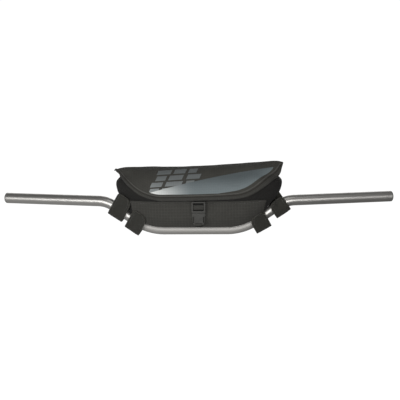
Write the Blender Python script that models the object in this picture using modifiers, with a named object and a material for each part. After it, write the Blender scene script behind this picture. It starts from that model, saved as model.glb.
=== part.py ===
import math
from collections import namedtuple

import bmesh
import bpy
from mathutils import Matrix, Vector

# A padded pouch strapped over the bend of a wide handlebar.
# Metres, +Z up. The pouch's front faces -Y, and the origin is on the bar's axis at its middle.

# Handlebar
BAR_DIAMETER = 0.0222
BAR_WALL = 0.0035
BAR_WIDTH = 0.820
BAR_FLAT_LENGTH = 0.130
RISER_ANGLE = math.radians(34)
LOWER_BEND_RADIUS = 0.108
UPPER_BEND_RADIUS = 0.060
RISER_TOP_X = 0.1845
GRIP_RISE_ANGLE = math.radians(1.7)
GRIP_SWEEP_ANGLE = math.radians(13)
PLUG_DOME = 0.0065
PLUG_STEM_LENGTH = 0.018

# Pouch
BAG_OFFSET = 0.0073
BAG_WIDTH = 0.344
BAG_HEIGHT = 0.1105
FRONT_DEPTH = 0.055
BACK_DEPTH = 0.022
HEM_HEIGHT = 0.0075
MOUTH_DIP = 0.0105
BODY_WALL = 0.003
PANEL_THICKNESS = 0.0015
PANEL_HEIGHT = 0.0495

# Flap
FLAP_WIDTH = 0.346
FLAP_DROP = 0.0667
FLAP_FOLD_HEIGHT = 0.009
FLAP_RISE = 0.011
FLAP_SEAM_DROP = 0.020
FLAP_THICKNESS = 0.0022
BINDING_WIDTH = 0.011
BINDING_THICKNESS = 0.0010

# Buckle and its webbing
BUCKLE_X = 0.0097
BUCKLE_WIDTH = 0.0285
BUCKLE_THICKNESS = 0.005
BUCKLE_TILT = math.radians(5)
FRAME_LENGTH = 0.0195
SLOT_WIDTH = 0.0215
SLOT_TOP = 0.0027
CROSSBAR_TOP = 0.0086
CROSSBAR_BOTTOM = 0.0142
SLOT_BOTTOM = 0.0186
CROSSBAR_RECESS = 0.0015
WEBBING_SLOT_TOP = 0.0038
WEBBING_SLOT_BOTTOM = 0.0018
SHOULDER_LENGTH = 0.0035
SOCKET_LENGTH = 0.0240
SOCKET_WALL = 0.0010
SOCKET_FLOOR = 0.0050
WINDOW_TOP = 0.0075
WINDOW_FLOOR = 0.0045
NECK_HALF_WIDTH = 0.0120
FOOT_HALF_WIDTH = 0.0100
CORE_HALF_WIDTH = 0.0092
PRONG_THICKNESS = 0.0030
PRONG_OUTER = 0.0130
PRONG_INNER = 0.0106
TONGUE_HALF_WIDTH = 0.0040
BUCKLE_CORNER = 0.0012
WEBBING_THICKNESS = 0.0012
UPPER_WEBBING_WIDTH = 0.0200
LOWER_WEBBING_WIDTH = 0.0135
TURN_NEAR = 0.0011
TURN_FAR = 0.0023
WEBBING_TAIL = 0.0085

# Bar straps
STRAP_WIDTH = 0.0345
STRAP_THICKNESS = 0.0026
STRAP_SLACK = 0.012
TAB_REACH = 0.032
REAR_REACH = 0.030
TAB_INNER_CORNER = 0.015
TAB_OUTER_CORNER = 0.005

# Clearances
BAR_GAP = 0.0009
CLOTH_GAP = 0.0006
BINDING_GAP = 0.0008
STRAP_GAP = 0.0014
PLASTIC_GAP = 0.0004
STEM_GAP = 0.0003

# How finely the curved forms are divided
COLUMNS = 24
BEND_STEPS = 5
BAR_SIDES = 16
GROOVE_STEPS = 4
PLUG_STEPS = 20
EDGE_SAMPLES = 200

# The pouch at rising levels. Height is a share of the pouch's height, width of half its width,
# front and back of its depths, and fullness bends the plan from a lens (2) to a box (4).
Level = namedtuple("Level", "height width front back fullness")
LEVELS = [
    Level(0.00, 0.930, 0.70, 0.80, 1.7),
    Level(0.14, 0.955, 0.96, 0.95, 1.8),
    Level(0.34, 0.982, 1.00, 1.00, 2.1),
    Level(0.48, 0.992, 0.96, 1.00, 2.6),
    Level(0.66, 1.000, 0.99, 1.00, 3.4),
    Level(0.84, 0.998, 0.93, 0.98, 3.3),
    Level(1.00, 0.945, 0.74, 0.86, 2.8),
]
HEIGHTS = [0.0, 0.07, 0.14, 0.24, 0.35, 0.48, 0.60, 0.72, 0.82, 0.90, 0.96, 1.0]
PANEL_LOW_ROWS = [0.24, 0.14, 0.07]
PANEL_HIGH_ROWS = [1.0, 0.75, 0.5, 0.25]
PANEL_SIDE = 0.80
PANEL_TUCK = 0.80
END_PADDING = 2.0

# The fold line, from left to right: across is a share of half the flap's width, rise of its rise.
Fold = namedtuple("Fold", "across rise")
FOLD_LINE = [
    Fold(-1.00, -0.50),
    Fold(-0.93, -0.16),
    Fold(-0.85, 0.00),
    Fold(-0.33, 0.04),
    Fold(0.05, 0.17),
    Fold(0.47, 0.52),
    Fold(0.80, 0.94),
    Fold(0.93, 1.03),
    Fold(1.00, 0.82),
]

# The front edge, from the left wing's tip to the right one's: across as above, drop is a share
# of the flap's drop below the left end of the fold line.
Edge = namedtuple("Edge", "across drop")
FLAP_EDGE = [
    Edge(-0.985, 0.10),
    Edge(-0.945, 0.18),
    Edge(-0.86, 0.44),
    Edge(-0.765, 0.66),
    Edge(-0.68, 0.81),
    Edge(-0.58, 0.92),
    Edge(-0.47, 0.99),
    Edge(-0.35, 1.00),
    Edge(0.02, 0.992),
    Edge(0.40, 0.955),
    Edge(0.54, 0.905),
    Edge(0.66, 0.78),
    Edge(0.785, 0.575),
    Edge(0.895, 0.375),
    Edge(0.955, 0.22),
    Edge(0.985, 0.02),
]
TIP_HEIGHT = 0.004

# How deep the flap's front hangs: height is a share of the way up to the fold line, depth of the
# pouch's front depth.
Drape = namedtuple("Drape", "height depth")
DRAPE = [
    Drape(0.00, 1.02),
    Drape(0.60, 1.02),
    Drape(0.80, 0.95),
    Drape(0.90, 0.83),
    Drape(0.96, 0.68),
    Drape(1.00, 0.48),
]
WING_DEPTH = 0.42
WING_SQUARENESS = 3.5
FLAP_ROWS = [0.0, 0.2, 0.42, 0.64, 0.82, 0.94, 1.0]

# The bar straps: across is a share of half the pouch's width, slope of the riser's angle, reach of
# the tabs' reach above the bar's axis, and slack of the slack below the bar.
Strap = namedtuple("Strap", "name across slope reach slack")
BAR_STRAPS = [
    Strap("left_upper", -0.962, 0.96, 1.00, 0.46),
    Strap("left_lower", -0.745, 0.99, 0.66, 0.80),
    Strap("right_lower", 0.709, 0.84, 0.27, 1.00),
    Strap("right_upper", 0.948, 1.00, 0.37, 0.62),
]
STRAP_STATIONS = 4
ARC_STEPS = 4
FRONT_ROWS = [0.22, 0.44, 0.62, 0.76, 0.88, 0.96, 1.0]
REAR_ROWS = [1.0, 0.75, 0.5, 0.25]

# From the fold line over the mouth to the seam at the back: along is the way across the depth,
# height the way up from the seam to the fold line, width the share of the flap's width kept.
Over = namedtuple("Over", "along height width")
OVER_ROWS = [
    Over(0.25, 0.985, 0.98),
    Over(0.50, 0.95, 0.95),
    Over(0.77, 0.89, 0.91),
    Over(0.98, 0.80, 0.87),
    Over(1.04, 0.50, 0.83),
    Over(1.02, 0.24, 0.81),
    Over(1.00, 0.00, 0.80),
]


def curve_through(xs, ys, x):
    # A smooth curve through a table's points, level past both ends.
    if x <= xs[0]:
        return ys[0]
    if x >= xs[-1]:
        return ys[-1]
    last = len(xs) - 1
    index = max(k for k in range(last) if xs[k] <= x)

    def slope(k):
        low, high = max(k - 1, 0), min(k + 1, last)
        return (ys[high] - ys[low]) / (xs[high] - xs[low])

    width = xs[index + 1] - xs[index]
    t = (x - xs[index]) / width
    return (
        ys[index] * (2 * t ** 3 - 3 * t ** 2 + 1)
        + slope(index) * width * (t ** 3 - 2 * t ** 2 + t)
        + ys[index + 1] * (3 * t ** 2 - 2 * t ** 3)
        + slope(index + 1) * width * (t ** 3 - t ** 2)
    )


def read_table(table, key, column, value):
    # One column of a table, read smoothly at a value of its key column.
    return curve_through([getattr(row, key) for row in table], [getattr(row, column) for row in table], value)


def spread(steps):
    # Shares from -1 to 1, closer together towards the ends.
    return [math.sin(math.pi / 2 * (2 * k / steps - 1)) for k in range(steps + 1)]


def filleted_path(corners, radii, steps):
    # Straight runs between the corners, with an arc of the given radius at each inner corner.
    points = [corners[0]]
    for before, corner, after, radius in zip(corners, corners[1:], corners[2:], radii):
        incoming = (before - corner).normalized()
        outgoing = (after - corner).normalized()
        half_opening = incoming.angle(outgoing) / 2
        centre = corner + (incoming + outgoing).normalized() * radius / math.sin(half_opening)
        start = corner + incoming * radius / math.tan(half_opening) - centre
        end = corner + outgoing * radius / math.tan(half_opening) - centre
        for step in range(steps + 1):
            points.append(centre + start.normalized().slerp(end.normalized(), step / steps) * radius)
    points.append(corners[-1])
    return points


def bar_path():
    bend_reach = LOWER_BEND_RADIUS * math.tan(RISER_ANGLE / 2)
    lower = Vector((BAR_FLAT_LENGTH / 2 + bend_reach, 0, 0))
    upper = Vector((RISER_TOP_X, 0, (RISER_TOP_X - lower.x) * math.tan(RISER_ANGLE)))
    grip = Vector((
        math.cos(GRIP_RISE_ANGLE) * math.cos(GRIP_SWEEP_ANGLE),
        math.cos(GRIP_RISE_ANGLE) * math.sin(GRIP_SWEEP_ANGLE),
        math.sin(GRIP_RISE_ANGLE),
    ))
    end = upper + grip * ((BAR_WIDTH / 2 - upper.x) / grip.x - PLUG_DOME)
    right = [lower, upper, end]
    left = [Vector((-p.x, p.y, p.z)) for p in reversed(right)]
    radii = [UPPER_BEND_RADIUS, LOWER_BEND_RADIUS, LOWER_BEND_RADIUS, UPPER_BEND_RADIUS]
    return filleted_path(left + right, radii, BEND_STEPS)


BAR_POINTS = bar_path()
BAR_RADIUS = BAR_DIAMETER / 2
GROOVE_RADIUS = BAR_RADIUS + BAR_GAP
PANEL_STACK = CLOTH_GAP + PANEL_THICKNESS
FLAP_EASE = PANEL_STACK + WEBBING_THICKNESS + BINDING_THICKNESS + BINDING_GAP + 2 * CLOTH_GAP


def bar_axis(x):
    # The point of the bar's axis at this X.
    for start, end in zip(BAR_POINTS, BAR_POINTS[1:]):
        if x <= end.x:
            break
    return start.lerp(end, (x - start.x) / (end.x - start.x))


def bar_slope(x):
    # The angle of the bar's axis above level, evened out over one bar radius each way.
    run = bar_axis(x + BAR_RADIUS) - bar_axis(x - BAR_RADIUS)
    return math.atan2(run.z, run.x)


def plan_share(across, fullness):
    return max(1 - abs(across) ** fullness, 0) ** (1 / fullness)


def level(height):
    return Level(height, *[read_table(LEVELS, "height", name, height) for name in Level._fields[1:]])


def body_x(across, height, inset=0):
    return BAG_OFFSET + across * (BAG_WIDTH / 2 * level(height).width - END_PADDING * inset)


def front_depth(across, height, inset=0):
    row = level(height)
    return (FRONT_DEPTH * row.front - inset) * plan_share(across, row.fullness)


def back_depth(across, height, inset=0):
    row = level(height)
    return (BACK_DEPTH * row.back - inset) * plan_share(across, row.fullness)


def saddle_z(x, depth, inset=0):
    # The height at which a point this far in front of the bar's axis clears the bar.
    radius = GROOVE_RADIUS + inset
    return bar_axis(x).z + math.sqrt(max(radius ** 2 - depth ** 2, 0)) / math.cos(bar_slope(x))


def hem_z(x, across, inset=0):
    return max(bar_axis(x).z + HEM_HEIGHT + inset, saddle_z(x, front_depth(across, 0, inset), inset))


def mouth_z(x):
    across = (x - BAG_OFFSET) / (BAG_WIDTH / 2)
    return HEM_HEIGHT + BAG_HEIGHT - MOUTH_DIP * across ** 4


def front_point(across, height, inset=0):
    x = body_x(across, height, inset)
    bottom = hem_z(x, across, inset)
    return Vector((x, -front_depth(across, height, inset), bottom + height * (mouth_z(x) - bottom)))


def back_point(across, height, inset=0):
    x = body_x(across, height, inset)
    bottom = saddle_z(x, 0, inset)
    return Vector((x, back_depth(across, height, inset), bottom + height * (mouth_z(x) - bottom)))


def body_section(across, inset):
    # From the front of the mouth down the front, over the bar and up the back.
    points = [front_point(across, height, inset) for height in reversed(HEIGHTS)]
    hem = points[-1]
    axis = bar_axis(hem.x)
    steepness = math.cos(bar_slope(hem.x))
    radius = GROOVE_RADIUS + inset
    start = math.asin(min((hem.z - axis.z) * steepness / radius, 1))
    for step in range(1, GROOVE_STEPS + 1):
        angle = start + (math.pi / 2 - start) * step / GROOVE_STEPS
        height = axis.z + radius * math.sin(angle) / steepness
        points.append(Vector((hem.x, -radius * math.cos(angle), height)))
    foot = back_point(across, 0, inset)
    points.append(Vector((hem.x, foot.y / 2, foot.z)))
    points.extend(back_point(across, height, inset) for height in HEIGHTS)
    return points


def find_height(x, z, bottom_of):
    # The share of the pouch's height and width at a point seen from the front.
    across = (x - BAG_OFFSET) / (BAG_WIDTH / 2)
    for _ in range(3):
        bottom = bottom_of(x, across)
        height = (z - bottom) / (mouth_z(x) - bottom)
        half_width = BAG_WIDTH / 2 * level(height).width
        across = max(-1, min(1, (x - BAG_OFFSET) / half_width))
    return across, height


def front_reach(x, z):
    # How far in front of the bar's axis the pouch reaches at a point seen from the front.
    across, height = find_height(x, z, hem_z)
    if height > 1 or z < hem_z(x, across) - PANEL_STACK:
        return 0
    return front_depth(across, max(height, 0))


def back_reach(x, z):
    across, height = find_height(x, z, lambda at_x, _: saddle_z(at_x, 0))
    if height > 1 or height < 0:
        return 0
    return back_depth(across, height)


def remove_everything():
    for item in list(bpy.data.objects):
        bpy.data.objects.remove(item, do_unlink=True)


def new_collection(name):
    collection = bpy.data.collections.new(name)
    bpy.context.scene.collection.children.link(collection)
    return collection


def new_material(name, color, roughness, metallic=0.0):
    material = bpy.data.materials.new(name)
    material.use_nodes = True
    shader = material.node_tree.nodes["Principled BSDF"]
    shader.inputs["Base Color"].default_value = (*color, 1)
    shader.inputs["Roughness"].default_value = roughness
    shader.inputs["Metallic"].default_value = metallic
    return material


def finish_object(name, mesh, material, collection, sharp_angle=math.radians(50)):
    mesh.name = name
    mesh.shade_smooth()
    mesh.set_sharp_from_angle(angle=sharp_angle)
    mesh.materials.clear()
    mesh.materials.append(material)
    item = bpy.data.objects.new(name, mesh)
    collection.objects.link(item)
    return item


def mesh_from_faces(points, faces):
    mesh = bpy.data.meshes.new("mesh")
    mesh.from_pydata(points, [], faces)
    work = bmesh.new()
    work.from_mesh(mesh)
    bmesh.ops.remove_doubles(work, verts=work.verts, dist=0.00002)
    bmesh.ops.recalc_face_normals(work, faces=work.faces)
    if work.calc_volume(signed=True) < 0:
        bmesh.ops.reverse_faces(work, faces=work.faces)
    work.to_mesh(mesh)
    work.free()
    return mesh


def grid_faces(columns, rows, first=0, around=False):
    # Quads between neighbouring columns of points; around joins the last row to the first.
    faces = []
    for c in range(columns - 1):
        for r in range(rows if around else rows - 1):
            here, there = first + c * rows, first + (c + 1) * rows
            faces.append((here + r, there + r, there + (r + 1) % rows, here + (r + 1) % rows))
    return faces


def split_quad(quad, turned=False):
    # Two triangles on a chosen diagonal, so that sheets lying on each other bend alike.
    a, b, c, d = quad
    return [(b, c, d), (b, d, a)] if turned else [(a, b, c), (a, c, d)]


def sheet_mesh(grid):
    # An open sheet through a grid of points, listed column by column.
    points = [point for column in grid for point in column]
    faces = [half for quad in grid_faces(len(grid), len(grid[0])) for half in split_quad(quad)]
    mesh = bpy.data.meshes.new("mesh")
    mesh.from_pydata(points, [], faces)
    return mesh


def add_thickness(item, thickness, offset):
    solid = item.modifiers.new("thickness", "SOLIDIFY")
    solid.thickness = thickness
    solid.offset = offset
    solid.use_even_offset = True
    return solid


def make_handlebar(material, collection):
    curve = bpy.data.curves.new("bar_path", "CURVE")
    curve.dimensions = "3D"
    curve.bevel_depth = BAR_RADIUS
    curve.bevel_resolution = (BAR_SIDES - 4) // 2
    spline = curve.splines.new("POLY")
    spline.points.add(len(BAR_POINTS) - 1)
    for target, point in zip(spline.points, BAR_POINTS):
        target.co = (*point, 1)
    guide = bpy.data.objects.new("bar_path", curve)
    collection.objects.link(guide)
    graph = bpy.context.evaluated_depsgraph_get()
    mesh = bpy.data.meshes.new_from_object(guide.evaluated_get(graph))
    bpy.data.objects.remove(guide)
    bar = finish_object("handlebar", mesh, material, collection)
    add_thickness(bar, BAR_WALL, -1)


def make_plug(name, end, direction, material, collection):
    # A dome over the tube's end and a stem in its bore, turned about the grip's axis.
    stem_radius = BAR_RADIUS - BAR_WALL - STEM_GAP
    profile = [(BAR_RADIUS * math.sin(a), PLUG_DOME * (0.2 + 0.8 * math.cos(a)))
               for a in (math.radians(18 * k) for k in range(6))]
    profile += [(BAR_RADIUS, STEM_GAP), (stem_radius, STEM_GAP), (stem_radius, -PLUG_STEM_LENGTH),
                (0, -PLUG_STEM_LENGTH)]
    mesh = bpy.data.meshes.new("mesh")
    edges = [(k, k + 1) for k in range(len(profile) - 1)]
    mesh.from_pydata([(radius, 0, height) for radius, height in profile], edges, [])
    plug = finish_object(name, mesh, material, collection)
    screw = plug.modifiers.new("turn", "SCREW")
    screw.steps = PLUG_STEPS
    screw.render_steps = PLUG_STEPS
    screw.use_merge_vertices = True
    screw.merge_threshold = 0.00001
    screw.use_smooth_shade = True
    plug.rotation_euler = direction.to_track_quat("Z", "Y").to_euler()
    plug.location = end


def make_body(material, collection):
    # An outer and an inner skin through the same sections, joined round the mouth.
    shares = spread(COLUMNS)
    outer = [body_section(share, 0) for share in shares]
    inner = [body_section(share, BODY_WALL) for share in shares]
    rows = len(outer[0])
    points = [point for column in outer + inner for point in column]
    inner_start = len(shares) * rows
    faces = grid_faces(len(shares), rows) + grid_faces(len(shares), rows, inner_start)
    for c in range(len(shares) - 1):
        for r in (0, rows - 1):
            here, there = c * rows + r, (c + 1) * rows + r
            faces.append((here, there, inner_start + there, inner_start + here))
    finish_object("bag_body", mesh_from_faces(points, faces), material, collection)


def make_front_panel(material, collection):
    # It follows the pouch's lower front and is tucked under the hem.
    grid = []
    for share in (share for share in spread(COLUMNS) if abs(share) < PANEL_SIDE):
        hem = front_point(share, 0)
        top = (HEM_HEIGHT + PANEL_HEIGHT - hem.z) / (mouth_z(hem.x) - hem.z)
        low = PANEL_LOW_ROWS[0]
        heights = [low + (top - low) * row for row in PANEL_HIGH_ROWS] + PANEL_LOW_ROWS
        column = [front_point(share, height) - Vector((0, CLOTH_GAP, 0)) for height in heights]
        column.append(hem - Vector((0, 0, CLOTH_GAP)))
        column.append(Vector((hem.x, hem.y * PANEL_TUCK, hem.z - CLOTH_GAP)))
        grid.append(column)
    panel = finish_object("front_panel", sheet_mesh(grid), material, collection)
    add_thickness(panel, PANEL_THICKNESS, -1)


def fold_point(across):
    # A point of the fold line, in the flap's front view.
    rise = read_table(FOLD_LINE, "across", "rise", across) * FLAP_RISE
    return BAG_OFFSET + across * FLAP_WIDTH / 2, HEM_HEIGHT + BAG_HEIGHT + FLAP_FOLD_HEIGHT + rise


def edge_point(along):
    # A point of the flap's front edge, by its share of the edge's length.
    step = min(int(along * EDGE_SAMPLES), EDGE_SAMPLES - 1)
    return EDGE_LINE[step].lerp(EDGE_LINE[step + 1], along * EDGE_SAMPLES - step)


def edge_line():
    # The front edge in X and Z, as points spaced evenly along it.
    fold_height = HEM_HEIGHT + BAG_HEIGHT + FLAP_FOLD_HEIGHT
    count = len(FLAP_EDGE)
    dense = []
    for k in range(EDGE_SAMPLES + 1):
        at = k / EDGE_SAMPLES * (count - 1)
        across = curve_through(range(count), [row.across for row in FLAP_EDGE], at)
        drop = curve_through(range(count), [row.drop for row in FLAP_EDGE], at)
        dense.append(Vector((BAG_OFFSET + across * FLAP_WIDTH / 2, fold_height - drop * FLAP_DROP)))
    lengths = [0]
    for before, after in zip(dense, dense[1:]):
        lengths.append(lengths[-1] + (after - before).length)
    even = []
    index = 0
    for k in range(EDGE_SAMPLES + 1):
        wanted = lengths[-1] * k / EDGE_SAMPLES
        while index < EDGE_SAMPLES - 1 and lengths[index + 1] < wanted:
            index += 1
        run = lengths[index + 1] - lengths[index]
        even.append(dense[index].lerp(dense[index + 1], (wanted - lengths[index]) / run))
    return even


EDGE_LINE = edge_line()


def flap_depth(x, z):
    # How far in front of the bar's axis the flap's inner side hangs.
    across = max(-1, min(1, (x - BAG_OFFSET) / (FLAP_WIDTH / 2)))
    fold_z = fold_point(across)[1]
    height = (z - HEM_HEIGHT) / (fold_z - HEM_HEIGHT)
    wing = WING_DEPTH + (1 - WING_DEPTH) * (1 - abs(across) ** WING_SQUARENESS)
    own = FRONT_DEPTH * read_table(DRAPE, "height", "depth", height) * wing
    return max(own, front_reach(x, z) + FLAP_EASE)


def flap_column(k):
    # From the front edge up to the fold line, over the mouth and down to the seam at the back.
    across = (2 * k / COLUMNS - 1 + spread(COLUMNS)[k]) / 2
    along = (across + 1) / 2
    edge = edge_point(along)
    fold_x, fold_z = fold_point(across)
    fold = Vector((fold_x, max(fold_z, edge.y + TIP_HEIGHT)))
    binding = min(BINDING_WIDTH / (fold - edge).length, 0.8)
    points = []
    for share in [0] + [binding + (1 - binding) * row for row in FLAP_ROWS]:
        at = edge.lerp(fold, share)
        points.append(Vector((at.x, -flap_depth(at.x, at.y), at.y)))
    front = points[-1]
    for row in OVER_ROWS:
        x = BAG_OFFSET + (front.x - BAG_OFFSET) * row.width
        seam_z = mouth_z(x) - FLAP_SEAM_DROP
        z = seam_z + (front.z - seam_z) * row.height
        seam_y = back_reach(x, min(z, mouth_z(x) - CLOTH_GAP)) + CLOTH_GAP
        y = front.y + (seam_y - front.y) * row.along
        points.append(Vector((x, y, z)))
    return points


def make_flap(material, collection):
    grid = [flap_column(k) for k in range(COLUMNS + 1)]
    flap = finish_object("flap", sheet_mesh(grid), material, collection)
    add_thickness(flap, FLAP_THICKNESS, 1)
    return flap, grid


def make_binding(flap, grid, material, collection):
    # A tape folded over the flap's front edge: a hairpin section swept from tip to tip. The
    # thickened flap lists the points of its outer side first.
    graph = bpy.context.evaluated_depsgraph_get()
    solid_points = [vertex.co.copy() for vertex in flap.evaluated_get(graph).data.vertices]
    rows = len(grid[0])
    rings = []
    for c, column in enumerate(grid):
        edge, far = column[0], column[1]
        outer_edge, outer_far = (solid_points[c * rows + r] for r in (0, 1))
        at_edge = (outer_edge - edge).normalized()
        at_far = (outer_far - far).normalized()
        inward = (far - edge).normalized()
        ring = []
        for gap in (BINDING_GAP, BINDING_GAP + BINDING_THICKNESS):
            hairpin = [
                outer_far + at_far * gap,
                outer_edge + (at_edge - inward) * gap,
                edge - (at_edge + inward) * gap,
                far - at_far * gap,
            ]
            ring += hairpin if gap == BINDING_GAP else hairpin[::-1]
        rings.append(ring)
    points = [point for ring in rings for point in ring]
    size = len(rings[0])
    quads = grid_faces(len(rings), size, around=True)
    # The first and fifth strips of the ring run from the far row down to the edge.
    faces = [half for k, quad in enumerate(quads) for half in split_quad(quad, k % 4 == 0)]
    for first in (0, (len(rings) - 1) * size):
        for r in range(3):
            faces.append((first + r, first + r + 1, first + size - 2 - r, first + size - 1 - r))
    finish_object("flap_binding", mesh_from_faces(points, faces), material, collection)


def outline_solid(name, loops, near, far, place, material, collection):
    # A flat outline in X and Z with holes, as thick as the span between two depths behind the front.
    curve = bpy.data.curves.new(name, "CURVE")
    curve.dimensions = "2D"
    curve.fill_mode = "BOTH"
    curve.extrude = (far - near) / 2
    for loop in loops:
        spline = curve.splines.new("POLY")
        spline.points.add(len(loop) - 1)
        spline.use_cyclic_u = True
        for target, (x, z) in zip(spline.points, loop):
            target.co = (x, z, 0, 1)
    guide = bpy.data.objects.new(name, curve)
    collection.objects.link(guide)
    graph = bpy.context.evaluated_depsgraph_get()
    mesh = bpy.data.meshes.new_from_object(guide.evaluated_get(graph))
    bpy.data.objects.remove(guide)
    work = bmesh.new()
    work.from_mesh(mesh)
    bmesh.ops.remove_doubles(work, verts=work.verts, dist=0.00001)
    work.to_mesh(mesh)
    work.free()
    stand_up = Matrix.Translation((0, (near + far) / 2, 0)) @ Matrix.Rotation(math.pi / 2, 4, "X")
    mesh.transform(stand_up)
    item = finish_object(name, mesh, material, collection, math.radians(30))
    item.matrix_world = place
    return item


def box_loop(half_width, top, bottom):
    return [(-half_width, top), (half_width, top), (half_width, bottom), (-half_width, bottom)]


def mirrored_loop(half):
    return half + [(-x, z) for x, z in reversed(half)]


def combine(target, tool, operation):
    tool.hide_render = True
    tool.display_type = "WIRE"
    boolean = target.modifiers.new(tool.name, "BOOLEAN")
    boolean.operation = operation
    boolean.object = tool


def buckle_place(top_z):
    # The buckle hangs just below the flap's edge and lies against the front panel's fullest line.
    needed = 0
    lean = math.tan(BUCKLE_TILT)
    length = FRAME_LENGTH + SHOULDER_LENGTH + SOCKET_LENGTH
    for step in range(21):
        down = length * step / 20
        surface = front_reach(BUCKLE_X, max(top_z - down, hem_z(BUCKLE_X, 0)))
        needed = max(needed, surface + PANEL_STACK + down * lean)
    back = needed + WEBBING_THICKNESS + 2 * CLOTH_GAP
    return Matrix.Translation((BUCKLE_X, -back, top_z)) @ Matrix.Rotation(BUCKLE_TILT, 4, "X")


def make_buckle(place, material, collection, cutters):
    half = BUCKLE_WIDTH / 2
    thick = BUCKLE_THICKNESS
    middle = thick / 2
    shoulder_end = FRAME_LENGTH + SHOULDER_LENGTH
    socket_top = shoulder_end + PLASTIC_GAP
    socket_end = socket_top + SOCKET_LENGTH
    prong_near = -middle - PRONG_THICKNESS / 2
    prong_far = -middle + PRONG_THICKNESS / 2
    slot_half = SLOT_WIDTH / 2
    corner = BUCKLE_CORNER

    frame = mirrored_loop([(half - corner, 0), (half, -corner), (half, -shoulder_end)])
    slots = [
        box_loop(slot_half, -SLOT_TOP, -CROSSBAR_TOP),
        box_loop(slot_half, -CROSSBAR_BOTTOM, -SLOT_BOTTOM),
    ]
    male = outline_solid("buckle_male", [frame] + slots, -thick, 0, place, material, collection)

    bar_loop = box_loop(slot_half, -SLOT_TOP - corner, -SLOT_BOTTOM + corner)
    recess = outline_solid("crossbar_recess", [bar_loop], -thick - corner, -thick + CROSSBAR_RECESS,
                           place, material, cutters)
    combine(male, recess, "DIFFERENCE")

    arm_root = shoulder_end - SHOULDER_LENGTH / 2
    arm_end = socket_end - WINDOW_FLOOR - 2 * PLASTIC_GAP
    window_top = socket_top + WINDOW_TOP
    bulge = half - SOCKET_WALL - PLASTIC_GAP
    prongs = mirrored_loop([
        (bulge, -arm_root),
        (bulge, -window_top),
        (PRONG_OUTER, -arm_end + corner),
        (PRONG_OUTER - corner, -arm_end),
        (PRONG_INNER, -arm_end),
        (PRONG_INNER, -socket_top - corner),
        (TONGUE_HALF_WIDTH, -socket_top - corner),
        (TONGUE_HALF_WIDTH, -arm_end + corner),
    ])
    comb = outline_solid("buckle_prongs", [prongs], prong_near, prong_far, place, material, cutters)
    combine(male, comb, "UNION")

    sleeve = mirrored_loop([
        (half, -socket_top),
        (NECK_HALF_WIDTH + corner, -window_top),
        (NECK_HALF_WIDTH, -socket_end + WINDOW_FLOOR),
        (FOOT_HALF_WIDTH, -socket_end + corner),
        (FOOT_HALF_WIDTH - corner, -socket_end),
    ])
    slot_foot = -socket_end + WEBBING_SLOT_BOTTOM
    slot = box_loop(FOOT_HALF_WIDTH - 2 * corner, -socket_end + WEBBING_SLOT_TOP, slot_foot)
    female = outline_solid("buckle_female", [sleeve, slot], -thick, 0, place, material, collection)
    cavity = mirrored_loop([
        (bulge + PLASTIC_GAP, -socket_top + corner),
        (bulge + PLASTIC_GAP, -window_top - corner),
        (PRONG_OUTER + PLASTIC_GAP, -socket_end + SOCKET_FLOOR),
    ])
    socket = outline_solid("buckle_socket", [cavity], prong_near - PLASTIC_GAP, prong_far + PLASTIC_GAP,
                           place, material, cutters)
    combine(female, socket, "DIFFERENCE")
    for side in (-1, 1):
        window_loop = [(side * CORE_HALF_WIDTH, -window_top), (side * (half + corner), -window_top),
                       (side * (half + corner), -socket_end + WINDOW_FLOOR),
                       (side * CORE_HALF_WIDTH, -socket_end + WINDOW_FLOOR)]
        window = outline_solid("buckle_window_" + ("left" if side < 0 else "right"), [window_loop],
                               -thick - corner, corner, place, material, cutters)
        combine(female, window, "DIFFERENCE")
    return socket_end


def ribbon(name, path, width, thickness, material, collection):
    # A flat band across X, through points given in Y and Z.
    half = width / 2
    grid = [[Vector((BUCKLE_X + side * half, y, z)) for side in (-1, 1)] for y, z in path]
    band = finish_object(name, sheet_mesh(grid), material, collection, math.radians(30))
    add_thickness(band, thickness, 0)


def make_webbing(place, socket_end, edge_depth, edge_z, material, collection):
    def at(y, down):
        point = place @ Vector((0, y, -down))
        return point.y, point.z

    half = WEBBING_THICKNESS / 2
    behind = CLOTH_GAP + half
    front_face = -BUCKLE_THICKNESS + CROSSBAR_RECESS - PLASTIC_GAP - half
    under_flap = -(edge_depth - BINDING_GAP - BINDING_THICKNESS - CLOTH_GAP - half)
    sewn_z = edge_z + BINDING_WIDTH + FRAME_LENGTH / 2
    sewn_y = -(flap_depth(BUCKLE_X, sewn_z) - CLOTH_GAP - half)
    ribbon("buckle_strap_upper", [
        (sewn_y, sewn_z),
        (under_flap, edge_z + BINDING_WIDTH + 2 * half),
        (under_flap, edge_z - BINDING_GAP - BINDING_THICKNESS - half),
        at(behind, SLOT_TOP),
        at(behind, CROSSBAR_TOP - TURN_FAR),
        at(front_face, CROSSBAR_TOP - TURN_NEAR),
        at(front_face, CROSSBAR_BOTTOM + TURN_NEAR),
        at(behind, CROSSBAR_BOTTOM + TURN_FAR),
        at(behind, SLOT_BOTTOM + WEBBING_TAIL),
    ], UPPER_WEBBING_WIDTH, WEBBING_THICKNESS, material, collection)

    slot = socket_end - (WEBBING_SLOT_TOP + WEBBING_SLOT_BOTTOM) / 2
    in_front = -BUCKLE_THICKNESS - CLOTH_GAP - half
    hem = hem_z(BUCKLE_X, 0)
    on_panel = front_reach(BUCKLE_X, hem) + PANEL_STACK + 2 * behind
    ribbon("buckle_strap_lower", [
        (-on_panel + behind, hem - half),
        (-on_panel - behind, hem + 2 * half),
        at(behind, socket_end + behind),
        at(behind, slot),
        at(in_front, slot),
        at(in_front, socket_end),
        at(-2 * behind, socket_end + 3 * behind),
    ], LOWER_WEBBING_WIDTH, WEBBING_THICKNESS, material, collection)


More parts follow.
